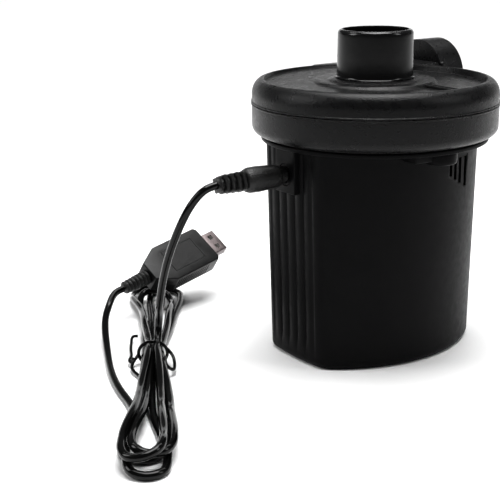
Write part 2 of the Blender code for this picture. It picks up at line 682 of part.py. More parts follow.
def build_top_cover():
    low = PARTING_Z + GAP / 2
    rim = arc((DISC_RADIUS - DISC_EDGE, DISC_TOP - DISC_EDGE), DISC_EDGE, 90, 0, 3)
    floor_outer = TOP_RECESS_RADIUS - 0.0006
    floor_inner = TOP_BOSS_RADIUS + 0.0006
    fillet = INTAKE_BASE_RADIUS + GAP
    profile = [(0, DISC_TOP), (fillet + 0.0004, DISC_TOP), (fillet + 0.0012, DISC_TOP - 0.0005),
               (fillet + 0.0028, TOP_BOSS_Z), (TOP_BOSS_RADIUS, TOP_BOSS_Z), (floor_inner, SCROLL_HIGH),
               (floor_outer, SCROLL_HIGH), (TOP_RECESS_RADIUS, DISC_TOP), *rim,
               (DISC_RADIUS, low + 2 * BEAD), (DISC_RADIUS + BEAD, low + BEAD), (DISC_RADIUS + BEAD, low),
               (0, low)]
    cover = turned("top_cover", profile, BLACK_GRAIN)
    for vertex in cover.data.vertices:
        radius = math.hypot(vertex.co.x, vertex.co.y)
        if abs(radius - floor_outer) < 1e-5 or abs(radius - floor_inner) < 1e-5:
            if vertex.co.z > CHAMBER_ROOF:
                vertex.co.z = scroll_height(math.atan2(vertex.co.y, vertex.co.x))
    ridge_top = TOP_BOSS_Z + RIDGE_HEIGHT
    ridge = box("ridge", (RIDGE_X - RIDGE_WIDTH / 2, -TOP_RECESS_RADIUS + 0.001, CHAMBER_ROOF + 0.001),
                (RIDGE_X + RIDGE_WIDTH / 2, -INTAKE_BASE_RADIUS - 0.001, ridge_top), collection=cutters)
    duct = settle(rounded(duct_box("duct_high", low, DISC_TOP), 0.002))
    sunken = cylinder("duct_sunken", floor_outer, CHAMBER_ROOF + 0.001, DISC_TOP + 0.001, steps=ROUND_STEPS,
                      collection=cutters)
    join(cover, cut(duct, sunken), ridge)
    inside = DISC_RADIUS - DISC_WALL
    rebate = low + SEAL_HALF_HEIGHT
    chamber = turned("chamber_high", [(0, CHAMBER_ROOF), (inside - 0.001, CHAMBER_ROOF),
                                      (inside, CHAMBER_ROOF - 0.001), (inside, rebate),
                                      (inside + SEAL_REBATE, rebate), (inside + SEAL_REBATE, low - 0.002),
                                      (0, low - 0.002)], collection=cutters)
    cut(cover, chamber, duct_box("duct_high_inside", low - 0.002, CHAMBER_ROOF, DUCT_WALL))
    for side in (-1, 1):
        at = (0, side * SCREW_BOSS_Y)
        join(cover, cylinder("pillar_high", PILLAR_RADIUS, low, CHAMBER_ROOF + 0.001, centre=at, steps=20,
                             collection=cutters))
    for side in (-1, 1):
        cut(cover, cylinder("pillar_bore", HOUSING_SCREW_RADIUS + GAP, low - 0.005, HOUSING_SCREW_TOP + GAP,
                            centre=(0, side * SCREW_BOSS_Y), steps=16, collection=cutters))
    cut(cover, cylinder("intake_hole", fillet, CHAMBER_ROOF - 0.010, DISC_TOP + 0.005, steps=32,
                        collection=cutters))
    return finished(cover, 25)


def build_housing_seal():
    inside = DISC_RADIUS - DISC_WALL - GAP
    outside = DISC_RADIUS - DISC_WALL + SEAL_REBATE - GAP
    top = PARTING_Z + SEAL_HALF_HEIGHT - GAP / 2
    low = PARTING_Z - SEAL_HALF_HEIGHT + GAP / 2
    seal = turned("housing_seal", [(outside, top), (outside, low), (inside, low), (inside, top)], RUBBER)
    mouth = box("seal_gap", (DUCT_START_X - 0.005, OUTLET_Y - DUCT_HALF_WIDTH - GAP, low - 0.003),
                (DISC_RADIUS + 0.009, DISC_RADIUS + 0.009, top + 0.003), collection=cutters)
    return finished(cut(seal, mouth))


def build_intake_nozzle():
    lip = INTAKE_LIP
    flange_top = CHAMBER_ROOF - GAP
    flange_low = flange_top - INTAKE_FLANGE_THICKNESS
    ledge = INTAKE_BORE - 0.0010
    outer_lip = arc((INTAKE_RADIUS - lip, INTAKE_TOP - lip), lip, 90, 0, 2)
    inner_lip = arc((INTAKE_BORE + lip / 2, INTAKE_TOP - lip / 2), lip / 2, 180, 90, 1)
    profile = [*outer_lip, (INTAKE_BASE_RADIUS, DISC_TOP + 0.001), (INTAKE_BASE_RADIUS, flange_top),
               (INTAKE_FLANGE, flange_top), (INTAKE_FLANGE, flange_low), (ledge, flange_low),
               (ledge, GUARD_Z - GAP), (INTAKE_BORE, GUARD_Z - GAP), *inner_lip]
    return turned("intake_nozzle", profile, BLACK_GLOSS, steps=32)


def build_intake_guard():
    outside = INTAKE_BORE - GAP
    top = GUARD_Z + GUARD_HEIGHT
    guard = turned("intake_guard", [(outside, top), (outside, GUARD_Z), (outside - 0.0012, GUARD_Z),
                                    (outside - 0.0012, top)], BLACK_SATIN, steps=32)
    half = GUARD_BAR / 2
    for i, turn in enumerate((0, math.pi / 2)):
        bar = box(f"guard_bar_{i}", (-outside + 0.0006, -half, GUARD_Z), (outside - 0.0006, half, top),
                  collection=cutters)
        bar.data.transform(Matrix.Rotation(turn + math.pi / 4, 4, "Z"))
        join(guard, bar)
    return finished(guard)


def build_outlet_nozzle():
    start = DUCT_END_X + GAP
    length = OUTLET_END_X - start
    lip = OUTLET_LIP
    end_lip = arc((OUTLET_RADIUS - 2 * lip, length - 2 * lip), 2 * lip, 90, 0, 2)
    nozzle = turned("outlet_nozzle", [(0, length), *end_lip, (OUTLET_RADIUS, 0), (0, 0)], BLACK_GRAIN,
                    steps=32, centre=(start, OUTLET_Y, OUTLET_Z), axis="X")
    face = box("duct_face", (start, OUTLET_Y - DUCT_HALF_WIDTH, DISC_BOTTOM),
               (OUTLET_FACE_X, OUTLET_Y + DUCT_HALF_WIDTH, DISC_TOP), collection=cutters)
    join(nozzle, rounded(face, 0.0008))
    mouth = OUTLET_BORE + lip
    bore = turned("outlet_bore", [(0, length + 0.002), (mouth, length + 0.002), (mouth, length),
                                  (OUTLET_BORE, length - lip), (OUTLET_BORE, OUTLET_FACE_X - start),
                                  (0, OUTLET_FACE_X - start)],
                  steps=32, centre=(start, OUTLET_Y, OUTLET_Z), axis="X", collection=cutters)
    reach = DUCT_HALF_WIDTH - DUCT_WALL
    window = box("duct_window", (start - 0.001, OUTLET_Y - reach, DISC_BOTTOM + DUCT_WALL),
                 (OUTLET_FACE_X + 0.0005, OUTLET_Y + reach, CHAMBER_ROOF), collection=cutters)
    round_cut = cylinder_x("round_window", OUTLET_BORE, start - 0.002, OUTLET_FACE_X + 0.001, OUTLET_Y,
                           OUTLET_Z, steps=32, collection=cutters)
    window = baked(combine(window, round_cut, "INTERSECT"))
    return finished(cut(nozzle, bore, window), 30)


def build_housing_screw(name, side):
    """A pan-head screw, driven from under the flange into the cover's pillar."""
    seat = BODY_HEIGHT - FLANGE_THICKNESS - SCREW_BOSS_HEIGHT + SCREW_RECESS - GAP
    head = HOUSING_SCREW_HEAD
    profile = [(0, HOUSING_SCREW_TOP), (HOUSING_SCREW_RADIUS * 0.5, HOUSING_SCREW_TOP),
               (HOUSING_SCREW_RADIUS, HOUSING_SCREW_TOP - 0.0012), (HOUSING_SCREW_RADIUS, seat), (head, seat),
               (head, seat - 0.0010), (head - 0.0008, seat - 0.0017), (0, seat - 0.0017)]
    screw = turned(name, profile, STEEL, steps=12, centre=(0, side * SCREW_BOSS_Y, 0))
    for turn in (0, math.pi / 2):
        slot = box("cross", (-0.0016, -0.0003, seat - 0.0020), (0.0016, 0.0003, seat - 0.0008),
                   collection=cutters)
        slot.data.transform(Matrix.Translation((0, side * SCREW_BOSS_Y, 0)) @ Matrix.Rotation(turn, 4, "Z"))
        cut(screw, slot)
    return finished(screw)


# ---------------------------------------------------------------- motor
def build_motor_can():
    inside = MOTOR_RADIUS - MOTOR_WALL
    plate_low = MOTOR_TOP - MOTOR_WALL
    boss_top = MOTOR_TOP + MOTOR_BOSS_HEIGHT
    profile = [(MOTOR_BOSS_RADIUS, boss_top), (MOTOR_BOSS_RADIUS, MOTOR_TOP),
               (MOTOR_RADIUS - 0.0012, MOTOR_TOP), (MOTOR_RADIUS, MOTOR_TOP - 0.0012), (MOTOR_RADIUS, MOTOR_BOTTOM),
               (inside, MOTOR_BOTTOM), (inside, plate_low), (BEARING_POCKET, plate_low),
               (BEARING_POCKET, boss_top - 0.0006),
               (SHAFT_HOLE, boss_top - 0.0006), (SHAFT_HOLE, boss_top)]
    can = turned("motor_can", profile, CAN_STEEL, steps=28)
    for side in (-1, 1):
        cut(can, cylinder("tapped_hole", MOTOR_SCREW_RADIUS + GAP, plate_low - 0.005, MOTOR_TOP + 0.004,
                          centre=(0, side * MOTOR_SCREW_Y), steps=12, collection=cutters))
    return finished(can)


def build_motor_end_cap():
    inside = MOTOR_RADIUS - MOTOR_WALL - GAP
    top = MOTOR_BOTTOM - GAP
    low = top - END_CAP_THICKNESS
    profile = [(inside, top + 0.0035), (inside, top), (MOTOR_RADIUS, top), (MOTOR_RADIUS, low),
               (MOTOR_BOSS_RADIUS, low), (MOTOR_BOSS_RADIUS, low - 0.0018), (SHAFT_HOLE, low - 0.0018),
               (SHAFT_HOLE, low - 0.0012), (BEARING_POCKET, low - 0.0012), (BEARING_POCKET, top),
               (inside - 0.0014, top), (inside - 0.0014, top + 0.0035)]
    return turned("motor_end_cap", profile, WHITE_PLASTIC, steps=28)


def build_bearing(name, low, height):
    outside = BEARING_POCKET - GAP
    inside = SHAFT_RADIUS + GAP
    profile = [(outside, low + height), (outside, low), (inside, low), (inside, low + height)]
    return turned(name, profile, BRASS, steps=20)


def build_magnet(name, side):
    outside = MOTOR_RADIUS - MOTOR_WALL - GAP
    inside = outside - MAGNET_THICKNESS
    middle = 0 if side > 0 else 180
    outline = arc((0, 0), outside, middle - 62, middle + 62, 12)
    outline += arc((0, 0), inside, middle + 62, middle - 62, 12)
    magnet = plate(name, outline, MAGNET_TOP - MAGNET_BOTTOM, FERRITE)
    magnet.data.transform(Matrix.Translation((0, 0, (MAGNET_TOP + MAGNET_BOTTOM) / 2)))
    return smooth(magnet)


def core_radius():
    return MOTOR_RADIUS - MOTOR_WALL - GAP - MAGNET_THICKNESS - AIR_GAP


def build_armature_core():
    """Three poles, each a neck and a curved shoe, round a bored hub."""
    outside = core_radius()
    shoe = outside - POLE_SHOE_THICKNESS
    hub = POLE_NECK * 0.85
    neck = math.degrees(math.asin(POLE_NECK / 2 / shoe))
    root = math.degrees(math.asin(POLE_NECK / 2 / hub))
    outline = []
    for pole in range(POLES):
        middle = 360 / POLES * pole
        outline += arc((0, 0), hub, middle - 360 / POLES / 2, middle - root, 3)[:-1]
        outline += arc((0, 0), shoe, middle - neck, middle - 46, 4)
        outline += arc((0, 0), outside, middle - 46, middle + 46, 10)
        outline += arc((0, 0), shoe, middle + 46, middle + neck, 4)
        outline += arc((0, 0), hub, middle + root, middle + 360 / POLES / 2, 3)[1:-1]
    bore = arc((0, 0), SHAFT_RADIUS + GAP, 0, 342, 19)
    core = plate("armature_core", outline, CORE_TOP - CORE_BOTTOM, STEEL, holes=(bore,))
    core.data.transform(Matrix.Translation((0, 0, (CORE_TOP + CORE_BOTTOM) / 2)))
    return smooth(core)


def build_armature_windings():
    """Copper in the three slots, joined by the end turns above and below the core."""
    shoe = core_radius() - POLE_SHOE_THICKNESS - GAP
    inside = POLE_NECK * 0.85 + 2 * GAP
    top = CORE_TOP + GAP
    low = CORE_BOTTOM - GAP
    ring_inside = SHAFT_RADIUS + 2 * GAP
    windings = turned("armature_windings", [(shoe, top + END_TURN_HEIGHT * 0.6), (shoe, top),
                                            (ring_inside, top), (ring_inside, top + END_TURN_HEIGHT),
                                            (shoe - 0.0014, top + END_TURN_HEIGHT)], COPPER, steps=24)
    below = turned("turns_below", [(shoe, low), (shoe, low - END_TURN_HEIGHT * 0.6),
                                   (shoe - 0.0014, low - END_TURN_HEIGHT),
                                   (ring_inside, low - END_TURN_HEIGHT), (ring_inside, low)],
                   steps=24, collection=cutters)
    join(windings, below)
    for slot in range(POLES):
        middle = 360 / POLES * (slot + 0.5)
        outline = arc((0, 0), shoe - 0.0004, middle - 20, middle + 20, 4)
        outline += arc((0, 0), inside, middle + 20, middle - 20, 3)
        filling = plate("slot_filling", outline, CORE_TOP - CORE_BOTTOM + END_TURN_HEIGHT, collection=cutters)
        filling.data.transform(Matrix.Translation((0, 0, (CORE_TOP + CORE_BOTTOM) / 2)))
        join(windings, filling)
    return finished(windings)


def build_commutator():
    bore = SHAFT_RADIUS + GAP
    ring = turned("commutator", [(COMMUTATOR_RADIUS, COMMUTATOR_TOP), (COMMUTATOR_RADIUS, COMMUTATOR_BOTTOM),
                                 (bore, COMMUTATOR_BOTTOM), (bore, COMMUTATOR_TOP)], COPPER, steps=24)
    for i in range(POLES):
        slit = box("slit", (COMMUTATOR_RADIUS - 0.0008, -0.00025, COMMUTATOR_BOTTOM - 0.005),
                   (COMMUTATOR_RADIUS + 0.001, 0.00025, COMMUTATOR_TOP + 0.005), collection=cutters)
        slit.data.transform(Matrix.Rotation(math.radians(35 + 360 / POLES * i), 4, "Z"))
        cut(ring, slit)
    return finished(ring)


def build_brush(name, side):
    """A carbon block on the commutator, with the holder that ties it to the end cap's wall."""
    middle = (COMMUTATOR_BOTTOM + COMMUTATOR_TOP) / 2
    near = COMMUTATOR_RADIUS + GAP
    far = MOTOR_RADIUS - MOTOR_WALL - 2 * GAP - 0.0014 - GAP
    half = BRUSH_WIDTH / 2
    block = box(name, (near, -half, middle - 0.0020), (near + 0.0055, half, middle + 0.0020), FERRITE)
    holder = box("brush_holder", (near + 0.0030, -half * 0.6, MOTOR_BOTTOM + GAP),
                 (far, half * 0.6, middle + 0.0006), collection=cutters)
    if side < 0:
        for obj in (block, holder):
            obj.data.transform(Matrix.Rotation(math.pi, 4, "Z"))
    return finished(join(block, holder))


def build_motor_shaft():
    tip = 0.0004
    profile = [(0, SHAFT_TOP), (SHAFT_RADIUS - tip, SHAFT_TOP), (SHAFT_RADIUS, SHAFT_TOP - tip),
               (SHAFT_RADIUS, SHAFT_BOTTOM + tip), (SHAFT_RADIUS - tip, SHAFT_BOTTOM), (0, SHAFT_BOTTOM)]
    return turned("motor_shaft", profile, STEEL, steps=20)


def build_motor_screw(name, side):
    """A screw from the chamber floor into the motor's front plate."""
    seat = CHAMBER_FLOOR + GAP
    head = MOTOR_SCREW_HEAD
    profile = [(0, seat + MOTOR_SCREW_HEAD_HEIGHT), (head - 0.0007, seat + MOTOR_SCREW_HEAD_HEIGHT),
               (head, seat + MOTOR_SCREW_HEAD_HEIGHT - 0.0007), (head, seat), (MOTOR_SCREW_RADIUS, seat),
               (MOTOR_SCREW_RADIUS, MOTOR_TOP - 0.0035), (0, MOTOR_TOP - 0.0035)]
    return turned(name, profile, STEEL, steps=14, centre=(0, side * MOTOR_SCREW_Y, 0))


def build_motor_terminal(name, side):
    top = MOTOR_BOTTOM - 2 * GAP - END_CAP_THICKNESS
    middle = side * 0.0110
    return box(name, (middle - 0.0004, -0.0014, top - 0.0050), (middle + 0.0004, 0.0014, top), BRASS)


def build_capacitor():
    top = MOTOR_BOTTOM - 2 * GAP - END_CAP_THICKNESS
    profile = [(0, top), (0.0028, top), (0.0035, top - 0.0007), (0.0035, top - 0.0017),
               (0.0028, top - 0.0024), (0, top - 0.0024)]
    return turned("suppression_capacitor", profile, CERAMIC, steps=20, centre=(0, 0.0102, 0))


# ---------------------------------------------------------------- impeller
def blade_outline():
    """A backward-curved blade: both sides follow one spiral, half the thickness apart."""
    sides = {1: [], -1: []}
    steps = 4
    for step in range(steps + 1):
        share = step / steps
        radius = BLADE_INNER + (IMPELLER_RADIUS - 0.0005 - BLADE_INNER) * share
        angle = -BLADE_SWEEP * (share + 0.35 * share * share)
        for side, points in sides.items():
            lean = angle + side * BLADE_THICKNESS / 2 / radius * 1.25
            points.append((radius * math.cos(lean), radius * math.sin(lean)))
    return sides[-1] + sides[1][::-1]


def build_impeller():
    bore = SHAFT_RADIUS + GAP
    plate_top = IMPELLER_PLATE_Z + IMPELLER_PLATE
    wheel = turned("impeller", [(IMPELLER_HUB - 0.0010, HUB_TOP), (IMPELLER_HUB, plate_top + 0.0015),
                                (IMPELLER_HUB + 0.0020, plate_top), (IMPELLER_RADIUS, plate_top),
                                (IMPELLER_RADIUS, IMPELLER_PLATE_Z), (IMPELLER_HUB, IMPELLER_PLATE_Z),
                                (IMPELLER_HUB, IMPELLER_PLATE_Z - 0.0016), (bore, IMPELLER_PLATE_Z - 0.0016),
                                (bore, HUB_TOP)], WHITE_PLASTIC, steps=32)
    for i in range(BLADES):
        height = IMPELLER_TOP - plate_top + 0.0006
        blade = plate("blade", blade_outline(), height, collection=cutters)
        blade.data.transform(Matrix.Rotation(2 * math.pi * i / BLADES, 4, "Z")
                             @ Matrix.Translation((0, 0, IMPELLER_TOP - height / 2)))
        join(wheel, blade)
    return finished(wheel)


def build_impeller_nut():
    low = HUB_TOP + GAP
    outline = arc((0, 0), 0.0031, 0, 300, 5)
    bore = arc((0, 0), SHAFT_RADIUS + GAP, 0, 337.5, 15)
    nut = plate("impeller_nut", outline, 0.0022, BRASS, holes=(bore,))
    nut.data.transform(Matrix.Translation((0, 0, low + 0.0011)))
    return smooth(nut)


# ---------------------------------------------------------------- switch
ROCKER_PIVOT_X = PANEL_FACE_X - 0.0005


def build_rocker_frame():
    face = PANEL_FACE_X + GAP
    rear = face - ROCKER_DEPTH
    frame = box("rocker_frame", (face, -ROCKER_BEZEL_Y, SWITCH_Z - ROCKER_BEZEL_Z),
                (face + ROCKER_BEZEL_THICKNESS, ROCKER_BEZEL_Y, SWITCH_Z + ROCKER_BEZEL_Z), BLACK_GLOSS)
    rounded(frame, 0.0006)
    body = box("rocker_body", (rear, -ROCKER_BODY_Y, SWITCH_Z - ROCKER_BODY_Z),
               (face + 0.0005, ROCKER_BODY_Y, SWITCH_Z + ROCKER_BODY_Z), collection=cutters)
    cavity = box("rocker_cavity", (rear + 0.0030, -ROCKER_CAVITY_Y, SWITCH_Z - ROCKER_CAVITY_Z),
                 (face + 0.010, ROCKER_CAVITY_Y, SWITCH_Z + ROCKER_CAVITY_Z), collection=cutters)
    return finished(cut(join(frame, body), cavity))


def build_rocker_button():
    """Its outer face is a shallow vee. At rest the upper half is pressed in."""
    half = ROCKER_CAVITY_Z - 0.0010
    outline = [(0.0044, half), (0.0032, 0), (0.0044, -half), (0.0014, -half), (-0.0024, -0.0028),
               (-0.0024, 0.0028), (0.0014, half)]
    button = plate("rocker_button", outline, 2 * (ROCKER_CAVITY_Y - GAP), BLACK_GLOSS)
    stand = Matrix.Rotation(math.pi / 2, 4, "X")
    button.data.transform(Matrix.Rotation(-ROCKER_THROW / 2, 4, "Y") @ stand)
    bpy.context.view_layer.update()
    rounded(button, 0.0004, 2)
    button.location = (ROCKER_PIVOT_X, 0, SWITCH_Z)
    return button


def build_rocker_terminal(name, row):
    """A blade behind the switch, in the lower (-1), middle or upper (1) row."""
    front = PANEL_FACE_X - ROCKER_DEPTH
    z = SWITCH_Z + 0.0060 * row
    return box(name, (front - 0.0062, -0.0024, z - 0.0004), (front, 0.0024, z + 0.0004), BRASS)


# ---------------------------------------------------------------- jack and plug
JACK_FACE_X = -PANEL_FACE_X + 0.0002
JACK_REAR_X = JACK_FACE_X + 0.0148


def build_dc_jack():
    inner_wall = -body_half(JACK_Z)[0] + BODY_WALL + FLUTE_DEPTH + GAP
    block = box("dc_jack", (inner_wall, -0.0045, JACK_Z - 0.0055), (JACK_REAR_X, 0.0045, JACK_Z + 0.0055),
                BLACK_SATIN)
    nose = cylinder_x("jack_nose", JACK_NOSE_RADIUS, JACK_FACE_X, inner_wall + 0.001, 0, JACK_Z, steps=32,
                      collection=cutters)
    bore = cylinder_x("jack_bore", BARREL_RADIUS + GAP, JACK_FACE_X - 0.001,
                      JACK_FACE_X + BARREL_REACH + 0.0008, 0, JACK_Z, collection=cutters)
    pin_hole = cylinder_x("pin_hole", PIN_RADIUS + GAP, JACK_FACE_X, JACK_REAR_X + 0.001, 0, JACK_Z, steps=16,
                          collection=cutters)
    return finished(cut(join(block, nose), bore, pin_hole))


def build_dc_jack_pin():
    return cylinder_x("dc_jack_pin", PIN_RADIUS, JACK_FACE_X + 0.0012, JACK_REAR_X + 0.0020, 0, JACK_Z, BRASS)


PLUG_FRONT_X = -PANEL_FACE_X - GAP
PLUG_REAR_X = PLUG_FRONT_X - PLUG_LENGTH
SOCKET_DEPTH = 0.0060


def build_dc_plug_body():
    """Turned about the plug's axis, with heights measured back from its front face."""
    length = PLUG_LENGTH
    collar = PLUG_COLLAR_LENGTH
    bore = BARREL_RADIUS + GAP
    tail = [(PLUG_REAR_RADIUS - 0.0003, length - 0.0022), (PLUG_REAR_RADIUS - 0.0009, length - 0.0009),
            (PLUG_REAR_RADIUS - 0.0016, length)]
    profile = [(0, length), *tail[::-1], (PLUG_REAR_RADIUS, length - 0.0065),
               (PLUG_FRONT_RADIUS + 0.0002, collar + 0.0012), (PLUG_FRONT_RADIUS - 0.0002, collar),
               (PLUG_COLLAR_RADIUS, collar - 0.0003), (PLUG_COLLAR_RADIUS, 0.0004),
               (PLUG_COLLAR_RADIUS - 0.0003, 0), (bore, 0), (bore, SOCKET_DEPTH), (0, SOCKET_DEPTH)]
    return turned("dc_plug_body", profile, RUBBER, steps=20, centre=(PLUG_FRONT_X, 0, JACK_Z), axis="-X")


def build_dc_plug_barrel():
    reach = BARREL_REACH + abs(PLUG_FRONT_X - JACK_FACE_X)
    rear = SOCKET_DEPTH - GAP
    tip = 0.0003
    profile = [(BARREL_RADIUS, rear), (BARREL_RADIUS, tip - reach), (BARREL_RADIUS - tip, -reach),
               (BARREL_BORE, -reach), (BARREL_BORE, rear)]
    return turned("dc_plug_barrel", profile, NICKEL, steps=16, centre=(PLUG_FRONT_X, 0, JACK_Z), axis="-X")


def ringed_relief(length, front_radius, rear_radius, rings):
    """Profile of a strain relief: full rings with a groove after each, and a plain end."""
    pitch = length / (rings + 0.5)
    profile = [(0, length)]
    for ring in reversed(range(rings + 1)):
        low = ring * pitch
        high = min(low + 0.62 * pitch, length)
        share = ring / rings
        radius = front_radius + (rear_radius - front_radius) * share
        profile += [(radius - 0.0003, high), (radius, low + 0.15 * pitch)]
        if ring:
            profile += [(radius - 0.0009, low), (radius - 0.0009, low - 0.30 * pitch)]
    profile[-1] = (profile[-1][0], 0)
    return [*profile, (0, 0)]


def build_dc_strain_relief():
    profile = ringed_relief(RELIEF_LENGTH, RELIEF_RADIUS, RELIEF_RADIUS * 0.88, RELIEF_RINGS)
    return turned("dc_strain_relief", profile, RUBBER, steps=14, centre=(PLUG_REAR_X - GAP, 0, JACK_Z),
                  axis="-X")


# ---------------------------------------------------------------- lead
def hank_point(along, across):
    return HANK_TIE + HANK_ALONG * along + HANK_ACROSS * across


def ease(share):
    share = min(max(share, 0.0), 1.0)
    return share * share * (3 - 2 * share)


def hank_half_width(along):
    if along < 0:
        half = HANK_NECK + (HANK_NEAR_HALF - HANK_NECK) * ease((-along - 0.010) / 0.060)
        end = HANK_NEAR
    else:
        half = HANK_NECK + (HANK_FAR_HALF - HANK_NECK) * ease((along - 0.006) / 0.055)
        end = HANK_FAR
    left = end - abs(along)
    if left < half:
        half = math.sqrt(max(half * half - (half - left) ** 2, 0.0))
    return half


def build_lead_hank():
    """The folded length in the tie: a waisted outline with round ends, as thick as its strands are deep."""
    stations = [-HANK_NEAR + HANK_NEAR_HALF * (1 - math.cos(math.radians(a))) for a in (0, 20, 40, 60, 80)]
    stations += [-0.075 + 0.010 * i for i in range(16)]
    stations += [HANK_FAR - HANK_FAR_HALF * (1 - math.cos(math.radians(a))) for a in (80, 60, 40, 20, 0)]
    right = [hank_point(s, hank_half_width(s)) for s in stations]
    left = [hank_point(s, -hank_half_width(s)) for s in stations[-2:0:-1]]
    hank = plate("lead_hank", [(p.x, p.y) for p in right + left], HANK_HEIGHT, PVC)
    hank.data.transform(Matrix.Translation((0, 0, HANK_HEIGHT / 2)))
    return smooth(hank, 30)


def build_hank_tie():
    """A wire tie over the hank's waist, standing on the floor at both sides."""
    inside = HANK_NECK + GAP
    outside = inside + TIE_THICKNESS
    top = HANK_HEIGHT + GAP
    outline = [(-outside, 0.0002), (-inside, 0.0002), (-inside, top), (inside, top), (inside, 0.0002),
               (outside, 0.0002), (outside, top), (outside - 0.0006, top + TIE_THICKNESS),
               (-outside + 0.0006, top + TIE_THICKNESS), (-outside, top)]
    tie = plate("hank_tie", outline, TIE_WIDTH, PVC)
    across = Matrix((HANK_ACROSS, (0, 0, 1), -HANK_ALONG)).transposed().to_4x4()
    tie.data.transform(Matrix.Translation(HANK_TIE) @ across)
    return smooth(baked(tie))


# ---------------------------------------------------------------- voltage-raising plug
def usb_matrix():
    turn = Matrix.Rotation(USB_YAW, 4, "Z") @ Matrix.Rotation(-USB_PITCH, 4, "Y")
    return Matrix.Translation(USB_CENTRE) @ turn @ Matrix.Rotation(USB_ROLL, 4, "X")


def usb_relief_end():
    return usb_matrix() @ Vector((-USB_LENGTH / 2 - 2 * GAP - USB_RELIEF_LENGTH, 0, 0))


def build_usb_plug():
    """Pieces made about the plug's own centre, pointing along +X, then set down at its place."""
    half = USB_LENGTH / 2
    side = USB_WIDTH / 2
    outline = [(half, side - 0.0015), (half - 0.0015, side), (-half + 0.0100, side), (-half, side - 0.0052),
               (-half, -side + 0.0052), (-half + 0.0100, -side), (half - 0.0015, -side),
               (half, -side + 0.0015)]
    housing = plate("usb_housing", outline, USB_THICKNESS, BLACK_SATIN)
    housing = finished(rounded(housing, USB_EDGE), 30)
    front = half + GAP
    wall = USB_SHELL_WALL
    shell = box("usb_shell", (front, -USB_SHELL_WIDTH / 2, -USB_SHELL_HEIGHT / 2),
                (front + USB_SHELL_LENGTH, USB_SHELL_WIDTH / 2, USB_SHELL_HEIGHT / 2), NICKEL)
    hollow = box("usb_hollow", (front - 0.001, -USB_SHELL_WIDTH / 2 + wall, -USB_SHELL_HEIGHT / 2 + wall),
                 (front + USB_SHELL_LENGTH + 0.001, USB_SHELL_WIDTH / 2 - wall, USB_SHELL_HEIGHT / 2 - wall),
                 collection=cutters)
    cut(shell, hollow)
    for hole in (-1, 1):
        cut(shell, box("usb_window", (front + 0.0040, hole * 0.0028 - 0.0012, 0),
                       (front + 0.0064, hole * 0.0028 + 0.0012, 0.004), collection=cutters))
    shell = finished(shell)
    tongue = box("usb_tongue", (front, -0.0049, -0.0015), (front + 0.0080, 0.0049, 0.0002), WHITE_PLASTIC)
    profile = ringed_relief(USB_RELIEF_LENGTH, USB_RELIEF_RADIUS, USB_RELIEF_RADIUS * 0.82, USB_RELIEF_RINGS)
    relief = turned("usb_strain_relief", profile, RUBBER, steps=12, centre=(-half - GAP, 0, 0), axis="-X")
    frame = bpy.data.objects.new("usb_plug_frame", None)
    parts.objects.link(frame)
    frame.matrix_world = usb_matrix()
    for piece in (housing, shell, tongue, relief):
        piece.parent = frame


def build_lead_tubes():
    tube("lead_tube", LEAD_ROUTE, LEAD_RADIUS, PVC, 2.6 * 2 * LEAD_RADIUS)
    end = usb_relief_end()
    back = (usb_matrix().to_3x3() @ Vector((-1, 0, 0))).normalized()
    start = [end + back * GAP, end + back * 0.004]
    landing = hank_point(-0.0365, -hank_half_width(-0.0365) - GAP)
    before = hank_point(-0.0365, -hank_half_width(-0.0365) - 0.0026)
    finish = [Vector((before.x, before.y, 0.0017)), Vector((landing.x, landing.y, 0.0017))]
    route = [*start, *[Vector(point) for point in USB_LEAD_ROUTE], *finish]
    tube("usb_lead_tube", route, LEAD_RADIUS, PVC, 2.6 * 2 * LEAD_RADIUS)


# ---------------------------------------------------------------- inside wiring
def build_wires():
    """Jack pin to switch, switch to motor, and jack to motor."""
    pin_end = JACK_REAR_X + 0.0020 + GAP
    blade_end = PANEL_FACE_X - ROCKER_DEPTH - 0.0062 - GAP
    terminal_z = MOTOR_BOTTOM - 2 * GAP - END_CAP_THICKNESS - 0.0050 - GAP
    round_motor = MOTOR_RADIUS + 0.0068
    blade_high = SWITCH_Z + 0.0060
    blade_low = SWITCH_Z - 0.0060
    tube("wire_positive", [(pin_end, 0, JACK_Z), (pin_end + 0.0015, -0.0003, JACK_Z),
                           (-0.0248, -0.0080, JACK_Z - 0.0015), (-0.0215, -0.0175, JACK_Z - 0.0045),
                           (-0.0080, -round_motor + 0.0003, JACK_Z - 0.0080),
                           (0.0080, -round_motor, blade_high - 0.0035),
                           (0.0205, -0.0175, blade_high - 0.0022),
                           (0.0236, -0.0060, blade_high - 0.0002), (blade_end - 0.0015, -0.0004, blade_high),
                           (blade_end, 0, blade_high)], WIRE_RADIUS, RED_WIRE, 0.0065)
    tube("wire_switched", [(blade_end, 0, blade_low), (blade_end - 0.0014, -0.0003, blade_low - 0.0003),
                           (0.0236, -0.0012, blade_low - 0.0050), (0.0232, -0.0015, MOTOR_BOTTOM + 0.0037),
                           (0.0200, -0.0010, MOTOR_BOTTOM - 0.0058), (0.0160, -0.0004, terminal_z - 0.0026),
                           (0.0110, 0, terminal_z - 0.0016), (0.0110, 0, terminal_z)],
         WIRE_RADIUS, RED_WIRE, 0.0065)
    tube("wire_negative", [(JACK_REAR_X + 2 * GAP, 0.0030, JACK_Z - 0.0035),
                           (JACK_REAR_X + 0.0022, 0.0030, JACK_Z - 0.0040),
                           (-0.0255, 0.0040, JACK_Z - 0.0155), (-0.0235, 0.0036, MOTOR_BOTTOM + 0.0057),
                           (-0.0200, 0.0020, MOTOR_BOTTOM - 0.0053), (-0.0160, 0.0006, terminal_z - 0.0026),
                           (-0.0110, 0, terminal_z - 0.0016), (-0.0110, 0, terminal_z)],
         WIRE_RADIUS, BLACK_WIRE, 0.0065)


